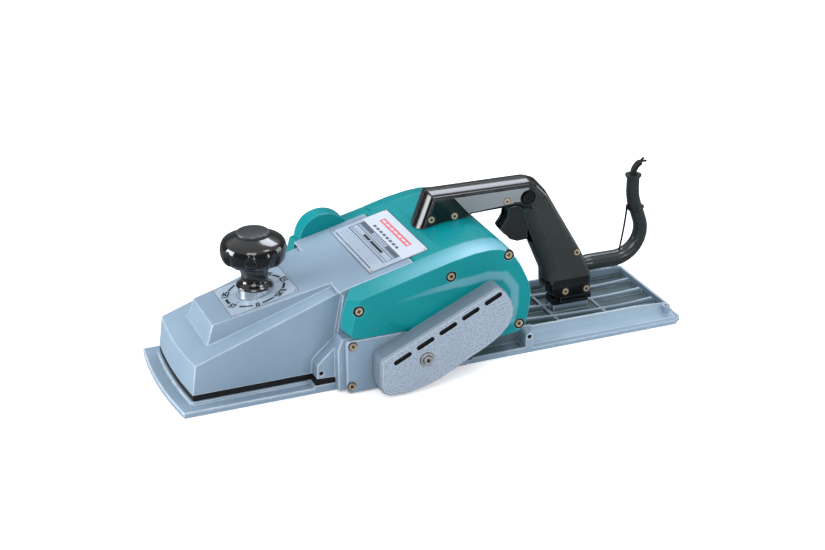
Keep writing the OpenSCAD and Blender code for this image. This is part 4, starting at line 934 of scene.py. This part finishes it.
def scallop(angle, radius, z):
    """How deep the finger scallops are here, 0 to 1; they narrow towards the top."""
    if radius <= 26 or z >= 146:
        return 0.0
    wave = math.cos(SCALLOPS * (angle - math.radians(SCALLOP_TURN)))
    height = unit_clamp((z - 133) / 11.5)
    near = unit_clamp((wave - height * height) / 0.45)
    ease = near * near * (3 - 2 * near)
    return ease * unit_clamp((z - 124.6) / 4.5) * unit_clamp((146.5 - z) / 4.0)


def knob():
    points = []
    for i in range(KNOB_SEGMENTS):
        angle = 2 * math.pi * i / KNOB_SEGMENTS
        for radius, z in KNOB_PROFILE:
            reach = radius - SCALLOP_DEPTH * scallop(angle, radius, z)
            points.append((KNOB_X + reach * math.cos(angle), reach * math.sin(angle), z))
    build("knob_head", (points, ring_faces(KNOB_SEGMENTS, len(KNOB_PROFILE))),
          "knob_phenolic", body="depth_adjuster", replaces=("depth_knob",))


knob()


# ------------------------------------------------------------------ prints on the two plates
PRINT_THICKNESS = 0.04


def print_marks(name, marks, lift, material):
    """Thin flat marks, each a list of (x, y) corners, lifted off the sloping roof."""
    def on_roof(mark, height):
        return [(x, y, 120.6 + 0.24 * x + height) for x, y in mark]

    shapes = []
    for mark in marks:
        points, sides, ends = solid(on_roof(mark, lift), on_roof(mark, lift + PRINT_THICKNESS))
        shapes.append((points, ends + sides))
    obj = build(name, join(shapes), material, smooth=0)
    face_outward(obj.data)


# --- dial round the knob
def polar(radius, degrees):
    angle = math.radians(degrees)
    return (KNOB_X + radius * math.cos(angle), radius * math.sin(angle))


def arc_marks(radius, half_width, start, end, count=14):
    marks = []
    for i in range(count):
        angle0 = start + (end - start) * i / count
        angle1 = start + (end - start) * (i + 1) / count
        inner, outer = radius - half_width, radius + half_width
        marks.append([polar(inner, angle0), polar(outer, angle0),
                      polar(outer, angle1), polar(inner, angle1)])
    return marks


# Digits as seven bars, each between two corners of a unit box
DIGIT_BARS = {"0": "abcdef", "1": "bc", "2": "abged", "5": "afgcd", "7": "abc"}
BARS = {
    "a": ((0, 1), (1, 1)), "b": ((1, 1), (1, .5)), "c": ((1, .5), (1, 0)), "d": ((0, 0), (1, 0)),
    "e": ((0, 0), (0, .5)), "f": ((0, .5), (0, 1)), "g": ((0, .5), (1, .5)),
}
DIGIT_HEIGHT, DIGIT_WIDTH, DIGIT_GAP = 5.8, 2.6, 1.7
PEN = 0.80      # half the width of a stroke


def number_marks(text, centre, degrees):
    """Plain dial digits, tops facing away from the knob."""
    angle = math.radians(degrees)
    right, up = (math.sin(angle), -math.cos(angle)), (math.cos(angle), math.sin(angle))
    advances = [DIGIT_GAP if char == "." else DIGIT_WIDTH + DIGIT_GAP for char in text]
    start = -sum(advances) / 2 + 0.8
    marks = []
    for char, advance in zip(text, advances):
        if char == ".":
            strokes = [((-0.3, 0.0), (0.5, 0.0))]
        else:
            strokes = [[(x * DIGIT_WIDTH, y * DIGIT_HEIGHT) for x, y in BARS[bar]]
                       for bar in DIGIT_BARS[char]]
        for first, last in strokes:
            way = direction(first, last)
            side_x, side_y = -way[1] * PEN, way[0] * PEN
            (x0, y0), (x1, y1) = [
                (point[0] + sign * way[0] * PEN * .9, point[1] + sign * way[1] * PEN * .9)
                for point, sign in ((first, -1), (last, 1))]
            corners = [(x0 + side_x, y0 + side_y), (x1 + side_x, y1 + side_y),
                       (x1 - side_x, y1 - side_y), (x0 - side_x, y0 - side_y)]
            marks.append([tuple(centre[k] + (start + x) * right[k]
                                + (y - DIGIT_HEIGHT / 2) * up[k] for k in (0, 1))
                          for x, y in corners])
        start += advance
    return marks


DIAL_LABELS = ["0", "0.25", "0.5", "0.75", "1.0", "1.25", "1.5"]
DIAL_STEP = 360 / len(DIAL_LABELS)
DIAL_ANGLES = [-103 + DIAL_STEP * i for i in range(len(DIAL_LABELS))]


def label_room(text):
    """Degrees kept clear on each side of a label."""
    return 7.5 + 2.2 * len(text)


def dial():
    marks = []
    following = DIAL_LABELS[1:] + DIAL_LABELS[:1]
    for text, after, angle in zip(DIAL_LABELS, following, DIAL_ANGLES):
        radius = 31.0 if abs(math.sin(math.radians(angle))) > 0.8 else 31.8
        marks += number_marks(text, polar(radius, angle), angle)
        marks += arc_marks(30.6, 1.4, angle + label_room(text),
                           angle + DIAL_STEP - label_room(after))
    print_marks("dial_marks", marks, 0.20, "print_black")

    lines = [rect(-161, -160.4, -35, 35), rect(-87.6, -87, -35, 35),
             rect(-161, -87, -35, -34.5), rect(-161, -87, 34.5, 35)]
    for degrees in DIAL_ANGLES:
        cosine, sine = math.cos(math.radians(degrees)), math.sin(math.radians(degrees))
        lines.append([(KNOB_X + radius * cosine + half * sine, radius * sine - half * cosine)
                      for radius, half in ((19.5, .3), (27.6, .3), (27.6, -.3), (19.5, -.3))])
    lines += arc_marks(19.6, 0.35, 0, 360, 60)
    print_marks("dial_lines", lines, 0.19, "print_grey")


# --- name plate, printed in fractions of its size
PLATE_X, PLATE_WIDTH, PLATE_HALF_LENGTH = -17.5, 66.5, 59.6


def plate_rect(across0, across1, down0, down1):
    """Across runs from the front edge to the back, down from the right edge to the left."""
    return rect(PLATE_X + across0 * PLATE_WIDTH, PLATE_X + across1 * PLATE_WIDTH,
                PLATE_HALF_LENGTH - down1 * 2 * PLATE_HALF_LENGTH,
                PLATE_HALF_LENGTH - down0 * 2 * PLATE_HALF_LENGTH)


def word_row(draw, across, down, end, word, gap):
    """A row of bars of random length standing for words."""
    marks = []
    while down < end:
        size = draw.uniform(*word)
        marks.append(plate_rect(*across, down, down + size))
        down += size + draw.uniform(*gap)
    return marks


# across from, across to, down from, down to
PLATE_BORDER = [(0, 0.008, 0, 1), (0.992, 1.0, 0, 1), (0, 1, 0, 0.005), (0, 1, 0.995, 1)]
PLATE_TABLE = [
    (0.285, 0.297, 0.06, 0.92), (0.555, 0.567, 0.06, 0.92), (0.285, 0.567, 0.06, 0.067),
    (0.285, 0.567, 0.913, 0.92), (0.335, 0.342, 0.06, 0.92), (0.435, 0.447, 0.06, 0.92),
    (0.475, 0.482, 0.06, 0.92),
]
PLATE_BLOCKS = [(0.37, 0.415, 0.30, 0.44), (0.37, 0.415, 0.46, 0.74)]
SMALL_ROWS = [(0.12, 0.135), (0.165, 0.18), (0.21, 0.225), (0.25, 0.262), (0.305, 0.32),
              (0.352, 0.364)]


def name_plate():
    draw = random.Random(11)
    print_marks("plate_white_area", [plate_rect(0.565, 0.992, 0.012, 0.988)], 0.94, "plate_white")

    words = word_row(draw, (0.055, 0.075), 0.06, 0.90, word=(0.012, 0.04), gap=(0.006, 0.014))
    print_marks("plate_table",
                [plate_rect(*line) for line in PLATE_BORDER + PLATE_TABLE] + words
                + [plate_rect(*mark) for mark in PLATE_BLOCKS], 0.955, "print_black")

    bands = [plate_rect(0.488, 0.55, 0.07, 0.34), plate_rect(0.488, 0.55, 0.66, 0.91)]
    bands += [plate_rect(0.615, 0.66, 0.20 + 0.075 * i, 0.25 + 0.075 * i) for i in range(8)]
    print_marks("plate_bands", bands, 0.99, "print_grey")

    small = [plate_rect(0.492, 0.546, 0.36, 0.64)]
    for across in SMALL_ROWS:
        small += word_row(draw, across, 0.08, 0.86, word=(0.01, 0.05), gap=(0.008, 0.02))
    print_marks("plate_small_print", small, 0.957, "print_light_grey")

    ladder = [plate_rect(0.76, 0.79, 0.16, 0.80), plate_rect(0.83, 0.86, 0.16, 0.80)]
    ladder += [plate_rect(0.79, 0.83, 0.16 + 0.0914 * i, 0.18 + 0.0914 * i) for i in range(7)]
    ladder.append(plate_rect(0.79, 0.83, 0.78, 0.80))
    print_marks("plate_red_bar", ladder, 0.99, "print_red")


dial()
name_plate()


# ------------------------------------------------------------------ linings, plugs and cups
def slot_shade_strip():
    """A black strip behind the row of slots, standing in for the shade inside the cover."""
    cosine, sine = math.cos(math.radians(SLOT_ANGLE)), math.sin(math.radians(SLOT_ANGLE))
    outline = [(SLOT_ORIGIN[0] + along * cosine - across * sine,
                SLOT_ORIGIN[1] + along * sine + across * cosine)
               for along, across in rect(-12.5, 125.5, -3.6, 3.6)]
    points, sides, ends = solid(at_level(outline, Y, -119.85), at_level(outline, Y, -119.45))
    build("slot_shade_strip", (points, sides + ends), "print_black",
          smooth=28)


def handle_foot_skirt():
    """Four thin walls round the rear foot of the handle."""
    walls = [(230, 268.8, 14.3, 14.95), (230, 268.8, -14.95, -14.3),
             (268.2, 268.8, -14.3, 14.3), (230, 230.6, -14.3, 14.3)]
    build("handle_foot_skirt", join(block(rect(*wall), Z, 18.6, 24.4) for wall in walls),
          "handle_plastic", smooth=0)


def hole_shade_discs():
    """Thin black discs standing in for the shade inside holes: four standing on the sides, two lying on
    the rear base.
    """
    plugs = []
    for x, z, y in ((-80.2, 22.1, -78.2), (-80.2, 22.1, 78.2), (160, 19, -79.2), (160, 19, 79.2)):
        inner = y - math.copysign(0.4, y)
        plugs.append(block(circle((x, z), 2.45, 24), Y, y, inner, flip_ends=True))
    for y in (-61, 61):
        plugs.append(block(circle((340, y), 1.95, 24), Z, 14.6, 14.2, flip_ends=True))
    build("hole_shade_discs", join(plugs), "print_black", smooth=0)


def black_rings(name, centres, y, inner, outer, height, count=48):
    """Black rings of square section that stand out to the left from a Y plane."""
    shapes = []
    for x, z in centres:
        points = []
        for i in range(count):
            cosine, sine = math.cos(2 * math.pi * i / count), math.sin(2 * math.pi * i / count)
            points += [(x + radius * cosine, level, z + radius * sine) for radius, level in
                       ((inner, y), (outer, y), (outer, y - height), (inner, y - height))]
        shapes.append((points, ring_faces(count, 4)))
    build(name, join(shapes), "black_part")


def crosses(name, node_name, centres, radius):
    """Cross recesses, dark with painted shade, drawn just off the left face of each screw head."""
    node = nodes[node_name]
    surface = [node.matrix_world @ vertex.co / MM for vertex in node.data.vertices]
    bars = []
    for k, (x, z) in enumerate(centres):
        top = min(point.y for point in surface
                  if math.hypot(point.x - x, point.z - z) < radius + 0.4) - 0.02
        for turn, height in ((0, 0.05), (90, 0.06)):
            angle = math.radians(18 + 37 * k + turn)
            cosine, sine = math.cos(angle), math.sin(angle)
            outline = [(x + radius * (along * cosine - across * sine),
                        z + radius * (along * sine + across * cosine))
                       for along, across in rect(-0.58, 0.58, -0.15, 0.15)]
            bars.append(block(outline, Y, top, top - height))
    build(name, join(bars), "print_black", smooth=0)


slot_shade_strip()
handle_foot_skirt()
hole_shade_discs()
black_rings("lock_recess_ring", [LOCK_CENTRE], y=-12.95, inner=6.9, outer=9.35, height=0.35)
black_rings("belt_screw_ring", BELT_SCREWS, y=-123.53, inner=4.45, outer=5.2, height=0.1)
black_rings("belt_screw_shadow", BELT_SCREWS, y=-122.03, inner=7.42, outer=8.0, height=0.1)
# Black rings in the cover's screw counterbores stand in for the shade there
black_rings("screw_shade_rings_cover", COVER_SCREWS, y=-92.9, inner=4.1, outer=5.9, height=2.2)
# Dark rings round the side plate's screw heads
black_rings("screw_dark_rings_plate", PLATE_SCREWS, y=-96.02, inner=3.95, outer=4.9, height=0.45)
# Black rings in the handle's screw counterbores stand in for the shade there
black_rings("screw_shade_rings_handle", HANDLE_SCREWS, y=-14.0, inner=3.65, outer=4.2, height=1.2)
crosses("cross_recess_cover", "side_cover_screws", COVER_SCREWS, radius=4.0)
crosses("cross_recess_plate", "side_plate_screws", PLATE_SCREWS, radius=3.8)
crosses("cross_recess_belt", "belt_cover_screw", BELT_SCREWS, radius=4.4)
crosses("cross_recess_handle", "handle_screws", HANDLE_SCREWS, radius=3.6)


# ------------------------------------------------------------------ power lead and its guard
def spline(path, steps):
    """A Catmull-Rom curve through the points of a path."""
    points = []
    for i in range(len(path) - 1):
        before, start = path[max(i - 1, 0)], path[i]
        end, after = path[i + 1], path[min(i + 2, len(path) - 1)]
        for k in range(steps):
            t = k / steps
            points.append(tuple(
                0.5 * (2 * p1 + (-p0 + p2) * t + (2 * p0 - 5 * p1 + 4 * p2 - p3) * t * t
                       + (-p0 + 3 * p1 - 3 * p2 + p3) * t ** 3)
                for p0, p1, p2, p3 in zip(before, start, end, after)))
    points.append(tuple(path[-1]))
    return points


def sweep(path, radii, count, close=True):
    """A tube along a path with a radius at each point."""
    points, faces = [], []
    last = len(path) - 1
    for i, radius in enumerate(radii):
        way = (Vector(path[min(i + 1, last)]) - Vector(path[max(i - 1, 0)])).normalized()
        across = way.cross(Vector((0, 1, 0)))
        across = across.normalized() if across.length > 1e-6 else Vector((1, 0, 0))
        other = way.cross(across)
        for k in range(count):
            angle = 2 * math.pi * k / count
            points.append(tuple(Vector(path[i]) + radius * (
                math.cos(angle) * across + math.sin(angle) * other)))
    for i in range(last):
        for k in range(count):
            j = (k + 1) % count
            faces.append((i * count + k, i * count + j,
                          (i + 1) * count + j, (i + 1) * count + k))
    if close:
        faces.append(tuple(range(count))[::-1])
        faces.append(tuple(last * count + k for k in range(count)))
    return points, faces


def tube(path, radius, count):
    return sweep(path, [radius] * len(path), count)


def arc_xz(x, z, radius, start, end, count):
    angles = [math.radians(start + (end - start) * i / count) for i in range(count + 1)]
    return [(x + radius * math.cos(angle), 0, z + radius * math.sin(angle)) for angle in angles]


# Out of the back of the handle, then up in a bend
BEND_RADIUS = 32.5
GUARD_PATH = (
    [(x, 0, CORD_Z) for x in (254.8, 262, 274, 290)]
    + arc_xz(304, CORD_Z + BEND_RADIUS, BEND_RADIUS, -90, 20, 10)
    + arc_xz(384.1, 138.4, 60, 200, 180, 3)
    + [(324.1, 0, 146), (324.1, 0, 150), (324.1, 0, 154.8)])
GUARD_CURVE = spline(GUARD_PATH, 4)
GUARD_SEGMENTS = 36


def guard_radius(part, x):
    """Tapers along the guard, with a plain root in the handle and a lip at the far end."""
    if part > 0.955:
        return 7.4 + 2.0 * min(1.0, (part - 0.955) / 0.03)
    if x < 270 and part < 0.3:
        return 9.1
    return 9.9 - 2.6 * min(1.0, part * 1.15)


def cord_guard():
    bore = 4.4
    stations, count = len(GUARD_CURVE), GUARD_SEGMENTS
    radii = [guard_radius(i / (stations - 1), point[0]) for i, point in enumerate(GUARD_CURVE)]
    outer = sweep(GUARD_CURVE, radii, count, close=False)
    points, faces = sweep(GUARD_CURVE, [bore] * stations, count, close=False)
    inner_start = len(outer[0])
    points, faces = join([outer, (points, [face[::-1] for face in faces])])
    end = (stations - 1) * count
    for k in range(count):
        j = (k + 1) % count
        faces.append((k, inner_start + k, inner_start + j, j))
        faces.append((end + k, end + j, inner_start + end + j, inner_start + end + k))
    build("cord_guard_smooth", (points, faces), "rubber_grey", replaces=("cord_guard",),
          smooth=60)


def cord_strap():
    """A ring round the guard with a tail that hangs in front of it."""
    ring_radius = 8.6
    hold = Vector(GUARD_CURVE[int(len(GUARD_CURVE) * 0.70)])
    side = Vector((-1, 0, 0.1)).normalized()
    ring = [tuple(hold + ring_radius * (math.cos(angle) * Vector((1, 0, 0.15))
                                        + math.sin(angle) * Vector((0, 1, 0))))
            for angle in [2 * math.pi * i / 16 for i in range(17)]]
    # Reach to the side of the hold point, then shift in y and z
    tail = [tuple(hold + side * reach + Vector((0, y, z))) for reach, y, z in (
        (ring_radius, 0, 0), (12.0, -1, 4), (12.4, -1, -6), (15.5, -2, -26), (18.5, -2, -44),
        (20, -1, -58))]
    build("cord_strap", join([tube(spline(ring, 2), 1.3, 10), tube(spline(tail, 5), 1.15, 10)]),
          "black_part", smooth=60)


def cord_lead():
    """The lead through the guard, ending in two bare cores."""
    path = [(228, 0, CORD_Z), (240, 0, CORD_Z)] + GUARD_PATH[1:]
    path += [(324.6, 0, 160), (327.6, 0, 165), (332.2, 0, 168.4)]
    parts = [tube(spline(path, 4), 3.75, 28)]
    for y, end in ((1.5, (337.5, 2.2, 172.0)), (-1.5, (338.6, -2.0, 169.6))):
        core = spline([(331.6, y, 168.0), (334.2, y * 1.1, 169.8), end], 5)
        parts.append(tube(core, 1.35, 14))
    build("cord_lead", join(parts), "rubber_black", replaces=("power_cord",), smooth=60)


cord_guard()
cord_strap()
cord_lead()


# ------------------------------------------------------------------ soft pieces
def soft_copy(node, name):
    """A copy of a CAD node, riding the body in its place."""
    obj = new_object(name, nodes[node].data.copy())
    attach(obj, "body")
    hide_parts(node)
    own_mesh(obj)
    add_weld(obj, 2e-6)
    add_smooth(obj)


soft_copy("base_gap_seal", "gap_seal_soft")
soft_copy("depth_spring", "depth_spring_soft")
soft_copy("trigger_spring", "trigger_spring_soft")
soft_copy("lock_spring", "lock_spring_soft")


# ------------------------------------------------------------------ stage (metres)
def aim(obj, place, target):
    obj.location = place
    obj.rotation_mode = "QUATERNION"
    obj.rotation_quaternion = (Vector(target) - Vector(place)).to_track_quat("-Z", "Y")


def floor():
    """A pale floor that looks dark in reflections and glows a little to the camera."""
    mesh = bpy.data.meshes.new("floor")
    z = cad_lo.z - 0.0002
    mesh.from_pydata([(-6, -4, z), (6, -4, z), (6, 8, z), (-6, 8, z)], [], [(0, 1, 2, 3)])
    obj = new_object("floor", mesh)
    mat = Material("floor_pale")
    rays = mat.node("ShaderNodeLightPath").outputs
    reflection_dark, camera_glow = 0.9, 0.42
    pale = mat.ramp(mat.noise(scale=3, detail=2), srgb(246, 247, 248), srgb(250, 250, 251),
                    over=(0.35, 0.65))
    mat.shade(
        colour=mat.mix(mat.times(rays["Is Glossy Ray"], reflection_dark), pale, srgb(70, 74, 80)),
        spec=0.15, rough=mat.remap(mat.noise(scale=30, detail=2), to=(0.75, 0.85)),
        glow=(1.0, 1.0, 1.0, 1.0), glow_strength=mat.times(rays["Is Camera Ray"], camera_glow))
    mesh.materials.append(mat.made)


def world():
    """White to the camera; to the planer, a dim horizon under a brighter sky."""
    made = bpy.data.worlds.new("studio")
    bpy.context.scene.world = made
    made.use_nodes = True
    tree = made.node_tree
    tree.nodes.clear()
    output = tree.nodes.new("ShaderNodeOutputWorld")
    sky = tree.nodes.new("ShaderNodeBackground")
    backdrop = tree.nodes.new("ShaderNodeBackground")
    mix = tree.nodes.new("ShaderNodeMixShader")
    rays = tree.nodes.new("ShaderNodeLightPath")
    coords = tree.nodes.new("ShaderNodeTexCoord")
    split = tree.nodes.new("ShaderNodeSeparateXYZ")
    brighten = tree.nodes.new("ShaderNodeMapRange")
    brighten.interpolation_type = "SMOOTHSTEP"
    for key, value in (("From Min", 0.36), ("From Max", 0.62), ("To Min", 0.16), ("To Max", 0.80)):
        brighten.inputs[key].default_value = value
    sky.inputs["Color"].default_value = (0.96, 0.98, 1.0, 1.0)
    backdrop.inputs["Color"].default_value = (1, 1, 1, 1)
    backdrop.inputs["Strength"].default_value = 1.0
    for source, socket in (
            (coords.outputs["Generated"], split.inputs[0]),
            (split.outputs["Z"], brighten.inputs["Value"]),
            (brighten.outputs[0], sky.inputs["Strength"]),
            (rays.outputs["Is Camera Ray"], mix.inputs[0]),
            (sky.outputs[0], mix.inputs[1]),
            (backdrop.outputs[0], mix.inputs[2]),
            (mix.outputs[0], output.inputs[0])):
        tree.links.new(source, socket)


# Name, place, target, size, second size (None for a square), power in watts, colour
LIGHTS = [
    ("key_softbox", (-0.75, -1.35, 1.25), (0.05, 0.0, 0.06), 0.9, None, 12, (1, 0.99, 0.97)),
    ("left_softbox", (-1.50, 0.36, 0.44), (-0.05, 0.0, 0.08), 0.8, 0.7, 21, (0.98, 0.99, 1)),
    ("top_softbox", (0.60, 0.61, 1.27), (0.13, 0.0, 0.16), 0.75, 0.50, 9, (0.86, 0.91, 1)),
    ("band_light", (0.54, -0.68, 1.28), (0.05, -0.09, 0.10), 0.42, 0.42, 4, (0.90, 0.95, 1)),
    ("fill_right", (1.35, -0.30, 0.40), (0.1, 0, 0.08), 0.7, None, 5, (0.96, 0.98, 1)),
    ("strip_front", (-0.62, -1.45, 0.22), (-0.124, 0, 0.13), 0.10, 0.5, 1.6, (1, 1, 1)),
    ("strip_right", (0.72, -1.30, 0.22), (-0.124, 0, 0.13), 0.10, 0.5, 1.6, (1, 1, 1)),
]


def area_light(name, place, target, size, size_y, power, colour):
    light = bpy.data.lights.new(name, "AREA")
    light.energy = power
    light.color = colour
    light.size = size
    if size_y:
        light.shape = "RECTANGLE"
        light.size_y = size_y
    aim(new_object(name, light), place, target)


def camera():
    lens = bpy.data.cameras.new("camera")
    lens.lens = 79.356
    lens.sensor_width = 36.0
    lens.clip_start = 0.05
    lens.clip_end = 50
    obj = new_object("camera", lens)
    aim(obj, place=(-0.63641, -1.66323, 0.90200), target=(0.07004, 0.03510, 0.060))
    bpy.context.scene.camera = obj


floor()
world()
for light_values in LIGHTS:
    area_light(*light_values)
camera()

scene = bpy.context.scene
scene.view_settings.view_transform = "Standard"
scene.view_settings.look = "None"
scene.view_settings.exposure = 0.0
scene.cycles.use_denoising = True
scene.cycles.max_bounces = 6
